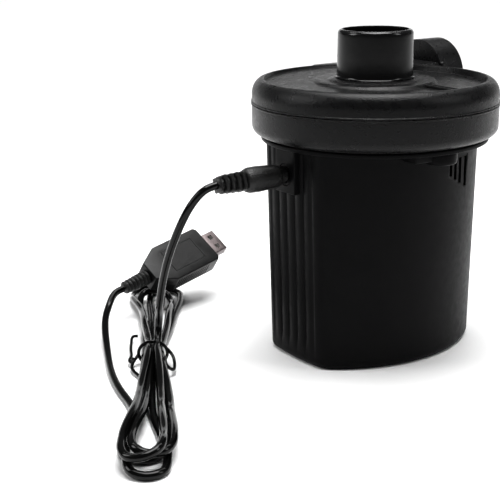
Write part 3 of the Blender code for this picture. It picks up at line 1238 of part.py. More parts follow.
build_body_shell()
build_volute_pan()
build_top_cover()
build_housing_seal()
build_intake_nozzle()
build_intake_guard()
build_outlet_nozzle()
build_housing_screw("housing_screw_front", -1)
build_housing_screw("housing_screw_rear", 1)
build_motor_can()
build_motor_end_cap()
build_bearing("bearing_upper", MOTOR_TOP - MOTOR_WALL + GAP, 0.0022)
build_bearing("bearing_lower", MOTOR_BOTTOM - GAP - END_CAP_THICKNESS - 0.0009, 0.0026)
build_magnet("magnet_left", -1)
build_magnet("magnet_right", 1)
build_armature_core()
build_armature_windings()
build_commutator()
build_brush("brush_left", -1)
build_brush("brush_right", 1)
build_motor_shaft()
build_motor_screw("motor_screw_front", -1)
build_motor_screw("motor_screw_rear", 1)
build_motor_terminal("motor_terminal_left", -1)
build_motor_terminal("motor_terminal_right", 1)
build_capacitor()
build_impeller()
build_impeller_nut()
build_rocker_frame()
build_rocker_button()
build_rocker_terminal("rocker_terminal_lower", -1)
build_rocker_terminal("rocker_terminal_middle", 0)
build_rocker_terminal("rocker_terminal_upper", 1)
build_dc_jack()
build_dc_jack_pin()
build_dc_plug_body()
build_dc_plug_barrel()
build_dc_strain_relief()
build_lead_hank()
build_hank_tie()
build_usb_plug()
build_lead_tubes()
build_wires()
for cutter in cutters.objects:
    cutter.hide_render = True
    cutter.display_type = "WIRE"
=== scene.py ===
"""Looks of an electric air mattress pump and its folded lead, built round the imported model.

Metres, in the model's own frame: +Z up, origin under the blower's axis, outlet towards +X.
"""

import json
import math

import bmesh
import bpy
import numpy as np
from mathutils import Matrix, Vector


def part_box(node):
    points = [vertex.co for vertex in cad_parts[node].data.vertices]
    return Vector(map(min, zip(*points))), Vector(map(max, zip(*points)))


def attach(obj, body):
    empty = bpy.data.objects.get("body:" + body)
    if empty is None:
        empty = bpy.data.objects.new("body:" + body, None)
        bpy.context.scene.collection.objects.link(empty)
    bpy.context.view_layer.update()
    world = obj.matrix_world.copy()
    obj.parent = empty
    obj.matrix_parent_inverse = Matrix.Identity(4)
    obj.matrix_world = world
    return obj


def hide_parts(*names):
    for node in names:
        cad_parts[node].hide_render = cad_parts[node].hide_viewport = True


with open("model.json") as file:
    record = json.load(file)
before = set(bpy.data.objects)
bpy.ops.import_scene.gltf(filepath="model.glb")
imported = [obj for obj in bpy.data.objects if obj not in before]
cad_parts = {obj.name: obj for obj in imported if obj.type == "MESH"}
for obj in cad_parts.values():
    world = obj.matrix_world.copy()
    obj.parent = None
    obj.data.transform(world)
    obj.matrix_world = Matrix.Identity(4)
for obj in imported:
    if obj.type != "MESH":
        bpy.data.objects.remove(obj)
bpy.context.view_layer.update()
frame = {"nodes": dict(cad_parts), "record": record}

# ---------------------------------------------------------------- sizes, as the model has them
GAP = 0.0003
BODY_BASE_X, BODY_BASE_Y = 0.0420, 0.0335
BODY_TOP_X, BODY_TOP_Y = 0.0443, 0.0358
BODY_HEIGHT = 0.0913
BODY_WALL = 0.0020
BROAD_ARC, END_ARC, CORNER_RADIUS = 0.0600, 0.1200, 0.0078
BASE_EDGE = 0.0028
FLUTE_PITCH, FLUTE_DEPTH, FLUTE_FOOT = 0.0056, 0.0009, 0.0060
FLANGE_RADIUS, FLANGE_THICKNESS = 0.0472, 0.0017
SCREW_BOSS_RADIUS, SCREW_BOSS_Y, SCREW_BOSS_HEIGHT = 0.0068, 0.0403, 0.0046
PANEL_FACE_X, PANEL_HALF_Y = 0.0460, 0.0065
JACK_Z, SWITCH_Z = 0.0795, 0.0680
PANEL_BOTTOM = 0.0720
SWITCH_PAD_HALF = (0.0092, 0.0122)
SWITCH_HOLE_HALF = (0.0067, 0.0097)
JACK_HOLE_RADIUS = 0.0046
VENT_X = (0.0123, 0.0158, 0.0194, 0.0236)
VENT_WIDTH, VENT_TOP, VENT_RECESS = 0.0020, 0.0836, 0.0007
VENT_BOTTOM_FIRST, VENT_BOTTOM_LAST = 0.0767, 0.0710

DISC_RADIUS = 0.0510
DISC_BOTTOM = BODY_HEIGHT + GAP
DISC_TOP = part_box("top_cover")[1].z
PARTING_Z = 0.1050
CHAMBER_FLOOR, CHAMBER_ROOF = 0.0936, 0.1100
CHAMBER_RADIUS = 0.0486
RECESS_RADIUS = 0.0460
BOSS_RADIUS, BOSS_Z = 0.0245, 0.1139
SCROLL_LOW, SCROLL_HIGH = 0.1119, 0.1140
SCROLL_START = math.radians(30)
INTAKE_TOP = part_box("intake_nozzle")[1].z
INTAKE_RADIUS, INTAKE_BASE_RADIUS, INTAKE_BORE = 0.0155, 0.0159, 0.0136
OUTLET_Y, OUTLET_Z, OUTLET_RADIUS, OUTLET_BORE = 0.0350, 0.1075, 0.0162, 0.0142
OUTLET_END_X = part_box("outlet_nozzle")[1].x
OUTLET_FACE_X, DUCT_END_X, DUCT_START_X = 0.0573, 0.0550, 0.0040
DUCT_HALF_WIDTH, DUCT_WALL = 0.0160, 0.0022

LEAD_DIAMETER = 0.0032
HANK_TIE = Vector((-0.0929, 0.0289, 0.0))
HANK_ALONG = Vector((0.511, 0.8595, 0.0)).normalized()
HANK_ACROSS = Vector((0.8595, -0.511, 0.0)).normalized()

# The free part of the lead, from the plug down to the tie
LEAD_ROUTE = (
    (-0.0783, 0.0000, 0.0795),
    (-0.0830, 0.0003, 0.0784),
    (-0.0875, 0.0022, 0.0738),
    (-0.0908, 0.0058, 0.0655),
    (-0.0924, 0.0105, 0.0560),
    (-0.0927, 0.0160, 0.0455),
    (-0.0917, 0.0218, 0.0350),
    (-0.0899, 0.0276, 0.0245),
)
# and from the hank to the far plug
USB_LEAD_ROUTE = (
    (-0.1193, 0.0082, 0.0016),
    (-0.1170, 0.0164, 0.0016),
    (-0.1134, 0.0268, 0.0016),
    (-0.1088, 0.0380, 0.0017),
    (-0.1038, 0.0492, 0.0027),
    (-0.0988, 0.0603, 0.0052),
    (-0.0932, 0.0708, 0.0083),
    (-0.0862, 0.0797, 0.0117),
)

USB_CENTRE = Vector((-0.0439, 0.0920, 0.0204))
USB_YAW, USB_PITCH, USB_ROLL = math.radians(12), math.radians(9), math.radians(38)
USB_LENGTH, USB_WIDTH, USB_THICKNESS = 0.0380, 0.0205, 0.0095
USB_SHELL = (0.0092, 0.0120, 0.0045)  # length, width, height
USB_RELIEF_LENGTH, USB_RELIEF_RADIUS = 0.0140, 0.0036

CAMERA_PLACE = Vector((-0.3137, -0.3738, 0.1800))
CAMERA_YAW = math.radians(33.84)  # from +Y towards +X
CAMERA_PITCH = math.radians(15.70)  # down
CAMERA_ROLL = math.radians(-0.69)
CAMERA_LENS = 84.5


# ---------------------------------------------------------------- camera, light and floor
def set_camera():
    level = math.cos(CAMERA_PITCH)
    ahead = Vector((math.sin(CAMERA_YAW) * level, math.cos(CAMERA_YAW) * level, -math.sin(CAMERA_PITCH)))
    right = Vector((math.cos(CAMERA_YAW), -math.sin(CAMERA_YAW), 0))
    up = right.cross(ahead)
    lean = Matrix.Rotation(-CAMERA_ROLL, 3, ahead)
    right, up = lean @ right, lean @ up
    data = bpy.data.cameras.new("camera")
    data.sensor_width = 36
    data.lens = CAMERA_LENS
    data.clip_start = 0.01
    camera = bpy.data.objects.new("camera", data)
    bpy.context.scene.collection.objects.link(camera)
    camera.matrix_world = Matrix.Translation(CAMERA_PLACE) @ Matrix((right, up, -ahead)).transposed().to_4x4()
    bpy.context.scene.camera = camera


def area_light(name, place, target, size, power):
    data = bpy.data.lights.new(name, "AREA")
    data.shape = "RECTANGLE"
    data.size, data.size_y = size
    data.energy = power
    light = bpy.data.objects.new(name, data)
    bpy.context.scene.collection.objects.link(light)
    light.location = place
    light.rotation_euler = (Vector(target) - Vector(place)).to_track_quat("-Z", "Y").to_euler()


def set_stage():
    """A pale floor swept up to a wall behind, a softbox overhead and one to each side."""
    ahead = Vector((math.sin(CAMERA_YAW), math.cos(CAMERA_YAW), 0))
    side = Vector((ahead.y, -ahead.x, 0))
    reach, radius, half_width, wall_top = 3.0, 0.4, 3.5, 0.85
    bend = [math.radians(a) for a in range(15, 91, 15)]
    sweep = [(-reach, 0.0), (reach - radius, 0.0)]
    sweep += [(reach - radius + radius * math.sin(a), radius - radius * math.cos(a)) for a in bend]
    sweep.append((reach, wall_top))
    verts = [tuple(ahead * out + side * across + Vector((0, 0, up)))
             for out, up in sweep for across in (-half_width, half_width)]
    faces = [(2 * i, 2 * i + 1, 2 * i + 3, 2 * i + 2) for i in range(len(sweep) - 1)]
    obj = mesh_object("floor", verts, faces)
    obj.data.shade_smooth()
    paint = bpy.data.materials.new("floor paint")
    paint.use_nodes = True
    shader = paint.node_tree.nodes["Principled BSDF"]
    shader.inputs["Base Color"].default_value = (0.90, 0.90, 0.90, 1)
    shader.inputs["Roughness"].default_value = 0.9
    shader.inputs["Specular IOR Level"].default_value = 0.1
    obj.data.materials.append(paint)
    area_light("softbox_top", (0.05, 0.00, 1.15), (0, 0.0, 0), (0.75, 0.75), 22)
    area_light("softbox_left", (-0.80, 0.42, 0.62), (0, 0, 0.09), (0.30, 0.6), 4)
    area_light("softbox_right", (0.55, -0.72, 0.66), (0, 0, 0.09), (0.22, 0.5), 2.0)
    wall = ahead * 1.5
    area_light("wall_light", (wall.x, wall.y, 2.4), ahead * 3.0 + Vector((0, 0, 0.7)), (3.2, 0.6), 76)
    world = bpy.data.worlds.new("studio")
    world.use_nodes = True
    world.node_tree.nodes["Background"].inputs["Color"].default_value = (1, 1, 1, 1)
    world.node_tree.nodes["Background"].inputs["Strength"].default_value = 0.10
    bpy.context.scene.world = world
    bpy.context.scene.view_settings.view_transform = "Standard"


# ---------------------------------------------------------------- materials
class Look:
    """A Principled material whose colour and roughness vary in patches and whose surface has bumps."""

    def __init__(self, name, colours, roughness, metallic=0.0, patch=90, **constants):
        self.material = bpy.data.materials.new(name)
        self.material.use_nodes = True
        self.tree = self.material.node_tree
        self.shader = self.tree.nodes["Principled BSDF"]
        self.shader.inputs["Metallic"].default_value = metallic
        for label, value in constants.items():
            self.shader.inputs[label.replace("_", " ")].default_value = value
        self.place = self.tree.nodes.new("ShaderNodeTexCoord").outputs["Object"]
        self.bumped = None
        broad = self.noise(patch, 4)
        mix = self.tree.nodes.new("ShaderNodeMix")
        mix.data_type = "RGBA"
        self.tree.links.new(broad, mix.inputs["Factor"])
        mix.inputs["A"].default_value = (*colours[0], 1)
        mix.inputs["B"].default_value = (*colours[1], 1)
        self.tree.links.new(mix.outputs["Result"], self.shader.inputs["Base Color"])
        spread = self.tree.nodes.new("ShaderNodeMapRange")
        self.tree.links.new(self.noise(patch * 4, 6), spread.inputs["Value"])
        spread.inputs["From Min"].default_value = 0.3
        spread.inputs["From Max"].default_value = 0.7
        spread.inputs["To Min"].default_value = roughness[0]
        spread.inputs["To Max"].default_value = roughness[1]
        self.tree.links.new(spread.outputs["Result"], self.shader.inputs["Roughness"])

    def noise(self, scale, detail=2, stretch=(1, 1, 1)):
        place = self.place
        if stretch != (1, 1, 1):
            mapping = self.tree.nodes.new("ShaderNodeMapping")
            mapping.inputs["Scale"].default_value = stretch
            self.tree.links.new(place, mapping.inputs["Vector"])
            place = mapping.outputs["Vector"]
        made = self.tree.nodes.new("ShaderNodeTexNoise")
        made.inputs["Scale"].default_value = scale
        made.inputs["Detail"].default_value = detail
        self.tree.links.new(place, made.inputs["Vector"])
        return made.outputs["Fac"]

    def bump(self, height, strength, distance):
        made = self.tree.nodes.new("ShaderNodeBump")
        made.inputs["Strength"].default_value = strength
        made.inputs["Distance"].default_value = distance
        self.tree.links.new(height, made.inputs["Height"])
        if self.bumped is not None:
            self.tree.links.new(self.bumped, made.inputs["Normal"])
        self.bumped = made.outputs["Normal"]
        self.tree.links.new(self.bumped, self.shader.inputs["Normal"])
        return self

    def grain(self, scale, strength, distance=0.0001, stretch=(1, 1, 1)):
        return self.bump(self.noise(scale, 3, stretch), strength, distance)

    def pits(self, scale, strength, distance=0.0001):
        cells = self.tree.nodes.new("ShaderNodeTexVoronoi")
        cells.inputs["Scale"].default_value = scale
        self.tree.links.new(self.place, cells.inputs["Vector"])
        return self.bump(cells.outputs["Distance"], strength, distance)


def make_looks():
    looks = {}
    satin = Look("satin black plastic", ((0.0016, 0.0016, 0.0018), (0.0030, 0.0030, 0.0032)), (0.38, 0.50),
                 Specular_IOR_Level=0.045)
    looks["body"] = satin.grain(1400, 0.22).grain(160, 0.05, 0.0004)
    grained = Look("spark eroded black plastic", ((0.0020, 0.0020, 0.0022), (0.0036, 0.0036, 0.0038)),
                   (0.24, 0.38), Specular_IOR_Level=0.15)
    looks["blower"] = grained.pits(2000, 0.40, 0.0002).grain(4200, 0.30)
    gloss = Look("gloss black plastic", ((0.0020, 0.0020, 0.0022), (0.0030, 0.0030, 0.0032)), (0.12, 0.20),
                 Specular_IOR_Level=0.30)
    looks["nozzle"] = gloss.grain(120, 0.06, 0.0006).grain(2200, 0.05)
    grip = Look("grained black rubber", ((0.0030, 0.0030, 0.0030), (0.0060, 0.0060, 0.0058)), (0.28, 0.44),
                Specular_IOR_Level=0.28)
    looks["grip"] = grip.pits(2100, 0.65, 0.00025).grain(4200, 0.3)
    sheath = Look("lead sheath", ((0.0012, 0.0012, 0.0012), (0.0024, 0.0024, 0.0024)), (0.07, 0.13),
                  Specular_IOR_Level=0.17)
    looks["sheath"] = sheath.grain(900, 0.12).grain(130, 0.10, 0.0004)
    plug = Look("far plug plastic", ((0.0020, 0.0020, 0.0020), (0.0042, 0.0042, 0.0042)), (0.28, 0.40),
                Specular_IOR_Level=0.20)
    looks["plug"] = plug.grain(1800, 0.30).pits(700, 0.10, 0.0002)
    seal = Look("seal rubber", ((0.012, 0.012, 0.012), (0.020, 0.020, 0.020)), (0.7, 0.85))
    looks["seal"] = seal.grain(1500, 0.3)
    nickel = Look("nickel plate", ((0.100, 0.084, 0.084), (0.155, 0.130, 0.130)), (0.30, 0.44),
                  metallic=1.0, patch=420)
    looks["nickel"] = nickel.grain(900, 0.15, stretch=(0.15, 1, 1)).grain(3000, 0.08)
    steel = Look("plated steel", ((0.50, 0.50, 0.51), (0.62, 0.62, 0.62)), (0.24, 0.38), metallic=1.0)
    looks["steel"] = steel.grain(1600, 0.12, stretch=(1, 1, 0.1))
    can = Look("zinc plated can", ((0.44, 0.45, 0.46), (0.56, 0.56, 0.57)), (0.30, 0.46), metallic=1.0)
    looks["can"] = can.grain(700, 0.14).pits(260, 0.06, 0.0002)
    brass = Look("brass", ((0.66, 0.48, 0.20), (0.78, 0.60, 0.30)), (0.24, 0.40), metallic=1.0)
    looks["brass"] = brass.grain(1500, 0.12)
    copper = Look("enamelled copper", ((0.55, 0.20, 0.08), (0.75, 0.34, 0.16)), (0.22, 0.36), metallic=1.0)
    looks["copper"] = copper.grain(2600, 0.5, 0.0002, stretch=(1, 1, 0.12))
    ferrite = Look("ferrite", ((0.030, 0.030, 0.034), (0.055, 0.055, 0.060)), (0.62, 0.82))
    looks["ferrite"] = ferrite.grain(2400, 0.35)
    nylon = Look("natural nylon", ((0.62, 0.61, 0.57), (0.72, 0.71, 0.67)), (0.36, 0.50))
    looks["nylon"] = nylon.grain(900, 0.12)
    red = Look("red insulation", ((0.42, 0.020, 0.012), (0.55, 0.035, 0.02)), (0.26, 0.40))
    looks["red"] = red.grain(900, 0.10)
    black = Look("black insulation", ((0.010, 0.010, 0.010), (0.018, 0.018, 0.018)), (0.26, 0.40))
    looks["black"] = black.grain(900, 0.10)
    dipped = Look("dipped capacitor", ((0.40, 0.16, 0.03), (0.52, 0.24, 0.06)), (0.16, 0.30))
    looks["dipped"] = dipped.grain(500, 0.2, 0.0003)
    return {name: look.material for name, look in looks.items()}


CAD_LOOKS = {
    "body_plastic": "body", "blower_plastic": "blower", "nozzle_plastic": "nozzle", "grip_rubber": "grip",
    "sheath": "sheath", "seal": "seal", "steel": "steel", "can_steel": "can", "nickel": "nickel",
    "brass": "brass", "copper": "copper", "ferrite": "ferrite", "white_plastic": "nylon",
    "red_insulation": "red", "black_insulation": "black", "capacitor_coat": "dipped",
}


def dress_cad_nodes(looks):
    """Every carried-over node takes the look of its slot in the record."""
    for row in frame["record"]["subparts"]:
        node = frame["nodes"][row["node"]]
        look = looks[CAD_LOOKS[row["material_slot"]]]
        node.data.materials.clear()
        node.data.materials.append(look)


# ---------------------------------------------------------------- mesh helpers
def mesh_object(name, verts, faces):
    mesh = bpy.data.meshes.new(name)
    mesh.from_pydata(verts, [], faces)
    obj = bpy.data.objects.new(name, mesh)
    bpy.context.scene.collection.objects.link(obj)
    return obj


def tidy_mesh(obj, merge=1e-6):
    shape = bmesh.new()
    shape.from_mesh(obj.data)
    bmesh.ops.remove_doubles(shape, verts=shape.verts, dist=merge)
    bmesh.ops.recalc_face_normals(shape, faces=shape.faces)
    shape.to_mesh(obj.data)
    shape.free()
    return obj


def smooth(obj, angle=32):
    obj.data.shade_smooth()
    obj.data.set_sharp_from_angle(angle=math.radians(angle))
    return obj


def arc(centre, radius, start, end, steps):
    """Points on an arc, angles in degrees."""
    angles = [math.radians(start + (end - start) * step / steps) for step in range(steps + 1)]
    return [(centre[0] + radius * math.cos(a), centre[1] + radius * math.sin(a)) for a in angles]


def softened(points, radius, closed=False, steps=4):
    """The outline with each corner rounded by this much, or by what its sides leave room for."""
    points = [Vector(p) for p in points]
    made = []
    for i, corner in enumerate(points):
        if not closed and i in (0, len(points) - 1):
            made.append(tuple(corner))
            continue
        before = points[i - 1] - corner
        after = points[(i + 1) % len(points)] - corner
        reach = min(radius, 0.45 * before.length, 0.45 * after.length)
        a = corner + before.normalized() * reach
        b = corner + after.normalized() * reach
        for step in range(steps + 1):
            t = step / steps
            made.append(tuple(a * (1 - t) ** 2 + corner * 2 * t * (1 - t) + b * t * t))
    return made


def revolved(name, profile, steps=160, lift=None):
    """A solid of revolution about Z. A profile that touches the axis at both ends is capped there.
    lift(radius, height, angle) may move a point's height."""
    closed = min(radius for radius, _ in profile) > 1e-6
    verts, rows = [], []
    for radius, height in profile:
        if radius < 1e-6:
            rows.append([len(verts)] * steps)
            verts.append((0, 0, height))
            continue
        row = []
        for step in range(steps):
            angle = 2 * math.pi * step / steps
            z = lift(radius, height, angle) if lift else height
            row.append(len(verts))
            verts.append((radius * math.cos(angle), radius * math.sin(angle), z))
        rows.append(row)
    faces = []
    for upper, lower in zip(rows, rows[1:] + rows[:1] if closed else rows[1:]):
        for i in range(steps):
            after = (i + 1) % steps
            ring = [upper[i], lower[i], lower[after], upper[after]]
            face = [v for k, v in enumerate(ring) if v != ring[k - 1]]
            if len(face) > 2:
                faces.append(face)
    return tidy_mesh(mesh_object(name, verts, faces))


def lofted(name, levels):
    """A closed skin over (height, outline) levels that share one point count."""
    count = len(levels[0][1])
    verts = [(x, y, height) for height, outline in levels for x, y in outline]
    faces = []
    for level in range(len(levels) - 1):
        for i in range(count):
            after = (i + 1) % count
            low, high = level * count, (level + 1) * count
            faces.append((low + i, low + after, high + after, high + i))
    faces.append(tuple(reversed(range(count))))
    faces.append(tuple(range((len(levels) - 1) * count, len(levels) * count)))
    return tidy_mesh(mesh_object(name, verts, faces))


def prism(name, outline, bottom, top):
    return lofted(name, [(bottom, outline), (top, outline)])


def block(name, low, high, edge=0.0, segments=3):
    outline = [(low[0], low[1]), (high[0], low[1]), (high[0], high[1]), (low[0], high[1])]
    obj = prism(name, outline, low[2], high[2])
    return bevelled(obj, edge, segments) if edge else obj


def bevelled(obj, width, segments=3, angle=30):
    edge = obj.modifiers.new("edge", "BEVEL")
    edge.width = width
    edge.segments = segments
    edge.limit_method = "ANGLE"
    edge.angle_limit = math.radians(angle)
    edge.harden_normals = False
    return applied(obj)


def applied(obj):
    bpy.context.view_layer.update()
    graph = bpy.context.evaluated_depsgraph_get()
    mesh = bpy.data.meshes.new_from_object(obj.evaluated_get(graph))
    obj.modifiers.clear()
    obj.data = mesh
    return obj


def combined(obj, others, operation):
    for other in others:
        change = obj.modifiers.new("combine", "BOOLEAN")
        change.operation = operation
        change.solver = "EXACT"
        change.object = other
        applied(obj)
        bpy.data.objects.remove(other, do_unlink=True)
        tidy_mesh(obj, 2e-6)
    return obj


def turned_to(obj, matrix):
    obj.data.transform(matrix)
    return obj


def along_x(obj, x, y, z, direction=1):
    """Lays a shape made about Z along X, its height running in that direction from x."""
    return turned_to(obj, Matrix.Translation((x, y, z)) @ Matrix.Rotation(direction * math.pi / 2, 4, "Y"))


def as_piece(obj, body, look, slot, *nodes):
    obj.data.materials.clear()
    obj.data.materials.append(look)
    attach(obj, body)
    if nodes:
        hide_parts(*nodes)
    return obj


# ---------------------------------------------------------------- lower housing
def body_outline(half_x, half_y, flute=0.0):
    """One level: two broad arcs, two end arcs, a fillet at each corner. The end arcs may be fluted."""
    broad = Vector((0, half_y - BROAD_ARC))
    end = Vector((half_x - END_ARC, 0))
    a, b = BROAD_ARC - CORNER_RADIUS, END_ARC - CORNER_RADIUS
    between = end - broad
    far = between.length
    along = (a * a - b * b + far * far) / (2 * far)
    unit = between / far
    normal = Vector((-unit.y, unit.x)) * math.sqrt(a * a - along * along)
    corner = max((broad + unit * along + normal * side for side in (-1, 1)), key=lambda p: p.x + p.y)
    broad_angle = math.atan2(corner.y - broad.y, corner.x - broad.x)
    end_angle = math.atan2(corner.y - end.y, corner.x - end.x)
    quarter = []
    for step in range(45):
        angle = end_angle * step / 45
        wave = abs(math.cos(math.pi * END_ARC * math.sin(angle) / FLUTE_PITCH))
        fade = min(1.0, (end_angle - angle) / end_angle * 6)
        reach = END_ARC - flute * fade * (1 - wave ** 0.6)
        quarter.append((end.x + reach * math.cos(angle), end.y + reach * math.sin(angle)))
    for step in range(12):
        angle = end_angle + (broad_angle - end_angle) * step / 12
        quarter.append((corner.x + CORNER_RADIUS * math.cos(angle),
                        corner.y + CORNER_RADIUS * math.sin(angle)))
    for step in range(20):
        angle = broad_angle + (math.pi / 2 - broad_angle) * step / 20
        quarter.append((broad.x + BROAD_ARC * math.cos(angle), broad.y + BROAD_ARC * math.sin(angle)))
    half = quarter + [(0.0, half_y)] + [(-x, y) for x, y in reversed(quarter[1:])]
    return half + [(-x, -y) for x, y in half]


def body_half(height):
    share = height / BODY_HEIGHT
    return BODY_BASE_X + (BODY_TOP_X - BODY_BASE_X) * share, BODY_BASE_Y + (BODY_TOP_Y - BODY_BASE_Y) * share


def body_levels():
    levels = []
    for step in range(7):
        angle = math.radians(15 * step)
        inset = BASE_EDGE * (1 - math.sin(angle))
        height = BASE_EDGE * (1 - math.cos(angle))
        half_x, half_y = body_half(height)
        levels.append((height, body_outline(half_x - inset, half_y - inset)))
    for step in range(6):
        height = BASE_EDGE + (2 * FLUTE_FOOT - BASE_EDGE) * (step + 1) / 6
        share = (step + 1) / 6
        depth = FLUTE_DEPTH * share * share * (3 - 2 * share)
        levels.append((height, body_outline(*body_half(height), depth)))
    for height in (0.03, 0.05, 0.07, BODY_HEIGHT - FLANGE_THICKNESS / 2):
        levels.append((height, body_outline(*body_half(height), FLUTE_DEPTH)))
    return levels


def vent_shapes():
    """Four slots in their shallow recess, on the -Y face and turned half round on the +Y face."""
    middle = (VENT_X[0] + VENT_X[-1]) / 2
    lean = math.asin(middle / BROAD_ARC)
    near, far = VENT_X[0] - VENT_WIDTH - middle, VENT_X[-1] + VENT_WIDTH - middle
    rise = (VENT_BOTTOM_FIRST - VENT_BOTTOM_LAST) / (VENT_X[-1] - VENT_X[0])
    margin = VENT_WIDTH / 2
    recess = [(near, VENT_BOTTOM_FIRST - margin + rise * VENT_WIDTH),
              (far, VENT_BOTTOM_LAST - margin - rise * VENT_WIDTH),
              (far, VENT_TOP + margin), (near, VENT_TOP + margin)]
    depth = BROAD_ARC * math.cos(lean) - BROAD_ARC + body_half(VENT_TOP)[1]
    stand = Matrix.Rotation(math.pi / 2, 4, "X")
    there = Matrix.Translation((middle, -depth, 0)) @ Matrix.Rotation(lean, 4, "Z")
    made = []
    for turn in (0, math.pi):
        spin = Matrix.Rotation(turn, 4, "Z")
        shape = prism("vent_recess", softened(recess, 0.0005, closed=True), -VENT_RECESS, 0.010)
        made.append(turned_to(shape, spin @ there @ stand))
        for i, x in enumerate(VENT_X):
            share = i / (len(VENT_X) - 1)
            bottom = VENT_BOTTOM_FIRST + (VENT_BOTTOM_LAST - VENT_BOTTOM_FIRST) * share
            slot = block("vent_slot", (x - VENT_WIDTH / 2, -0.045, bottom),
                         (x + VENT_WIDTH / 2, -0.024, VENT_TOP))
            made.append(turned_to(slot, spin))
    return made


def build_body(looks):
    shell = lofted("body_shell_fine", body_levels())
    low = BODY_HEIGHT - FLANGE_THICKNESS
    ring = [(0, BODY_HEIGHT), (FLANGE_RADIUS, BODY_HEIGHT), (FLANGE_RADIUS, low), (0, low)]
    additions = [revolved("flange", softened(ring, 0.0005), 180)]
    additions.append(block("jack_panel", (-PANEL_FACE_X, -PANEL_HALF_Y, PANEL_BOTTOM),
                           (-BODY_BASE_X + BODY_WALL, PANEL_HALF_Y, low + 0.0008), 0.0005))
    pad_y, pad_z = SWITCH_PAD_HALF
    additions.append(block("switch_pad", (BODY_BASE_X - BODY_WALL, -pad_y, SWITCH_Z - pad_z),
                           (PANEL_FACE_X, pad_y, SWITCH_Z + pad_z), 0.0008))
    for side in (-1, 1):
        foot = low - SCREW_BOSS_HEIGHT
        boss = [(0, low + 0.0008), (SCREW_BOSS_RADIUS, low + 0.0008), (SCREW_BOSS_RADIUS, foot), (0, foot)]
        shape = revolved("boss", softened(boss, 0.0016, steps=6), 72)
        additions.append(turned_to(shape, Matrix.Translation((0, side * SCREW_BOSS_Y, 0))))
        web_y = side * 0.0390
        web = block("boss_web", (-0.0150, web_y - 0.004, low - 0.0030), (-0.004, web_y + 0.004, low + 0.0008),
                    0.0008)
        additions.append(turned_to(web, Matrix.Scale(-side, 4, (1, 0, 0)) if side > 0 else Matrix()))
    combined(shell, additions, "UNION")
    inner = []
    for height in (0.0022, 0.0400, BODY_HEIGHT + 0.004):
        half_x, half_y = body_half(height)
        inner.append((height, body_outline(half_x - BODY_WALL - FLUTE_DEPTH, half_y - BODY_WALL)))
    cuts = [lofted("cavity", inner)]
    for side in (-1, 1):
        shank, head, seat, top, bottom = 0.0016, 0.0031, low - 0.0020, 0.096, 0.078
        bore = [(0, top), (shank, top), (shank, seat), (head, seat), (head, bottom), (0, bottom)]
        place = Matrix.Translation((0, side * SCREW_BOSS_Y, 0))
        cuts.append(turned_to(revolved("screw_bore", bore, 48), place))
    hole = [(0, 0.012), (JACK_HOLE_RADIUS, 0.012), (JACK_HOLE_RADIUS, 0), (0, 0)]
    cuts.append(along_x(revolved("jack_hole", hole, 64), -0.049, 0, JACK_Z))
    hole_y, hole_z = SWITCH_HOLE_HALF
    cuts.append(block("switch_hole", (0.036, -hole_y, SWITCH_Z - hole_z), (0.050, hole_y, SWITCH_Z + hole_z)))
    dimple = [(0, 0.002), (0.0013, 0.002), (0.0013, 0), (0, 0)]
    cuts.append(along_x(revolved("dimple", dimple, 32), -0.0462, -0.0092, PANEL_BOTTOM - 0.0030))
    combined(shell, cuts + vent_shapes(), "DIFFERENCE")
    as_piece(smooth(shell, 28), "housing", looks["body"], "body_plastic", "body_shell")


# ---------------------------------------------------------------- blower housing
def scroll_height(angle):
    turned_by = (SCROLL_START - angle) % (2 * math.pi)
    return SCROLL_LOW + (SCROLL_HIGH - SCROLL_LOW) * turned_by / (2 * math.pi)


def sunken(radius, height, angle):
    """The sunken top face follows the scroll between the boss and the rim."""
    if height < CHAMBER_ROOF + 0.001 or radius > RECESS_RADIUS or radius < BOSS_RADIUS:
        return height
    into = min(1.0, (RECESS_RADIUS - radius) / 0.0008, (radius - BOSS_RADIUS) / 0.0016)
    into = into * into * (3 - 2 * into)
    edge = DISC_TOP if radius > 0.040 else BOSS_Z
    return edge + (scroll_height(angle) - edge) * into


def duct(name, low, high, start, end, inset=0.0):
    half = DUCT_HALF_WIDTH - inset
    edge = 0.0 if inset else 0.0022
    return block(name, (start, OUTLET_Y - half, low), (end, OUTLET_Y + half, high), edge, 5)


def build_volute_pan(looks):
    top = PARTING_Z - GAP / 2
    low = DISC_BOTTOM + 0.0005
    edge = 0.0038
    bead = 0.0003
    spigot = FLANGE_RADIUS - 0.0008
    outer = [(0, top), (DISC_RADIUS + bead * 0.6, top), (DISC_RADIUS + bead, top - bead * 0.5),
             (DISC_RADIUS + bead, top - bead * 1.6), (DISC_RADIUS, top - bead * 2.6),
             *arc((DISC_RADIUS - edge, low + edge), edge, 0, -90, 10), (spigot, low), (spigot, DISC_BOTTOM),
             (0, DISC_BOTTOM)]
    pan = revolved("volute_pan_fine", outer, 200)
    half = duct("duct_low", DISC_BOTTOM, top + 0.006, DUCT_START_X, DUCT_END_X)
    combined(half, [block("above", (-0.06, -0.06, top), (0.07, 0.07, top + 0.01))], "DIFFERENCE")
    combined(pan, [half], "UNION")
    clear = top + 0.002
    chamber = [(0, clear), (CHAMBER_RADIUS, clear), (CHAMBER_RADIUS, CHAMBER_FLOOR), (0, CHAMBER_FLOOR)]
    cuts = [revolved("chamber", softened(chamber, 0.001), 160)]
    cuts.append(duct("duct_low_inside", DISC_BOTTOM + DUCT_WALL, clear, DUCT_START_X, DUCT_END_X + 0.001,
                     DUCT_WALL))
    hole = [(0, 0.096), (0.0053, 0.096), (0.0053, 0.088), (0, 0.088)]
    cuts.append(revolved("motor_hole", hole, 64))
    combined(pan, cuts, "DIFFERENCE")
    as_piece(smooth(pan, 28), "housing", looks["blower"], "blower_plastic", "volute_pan")


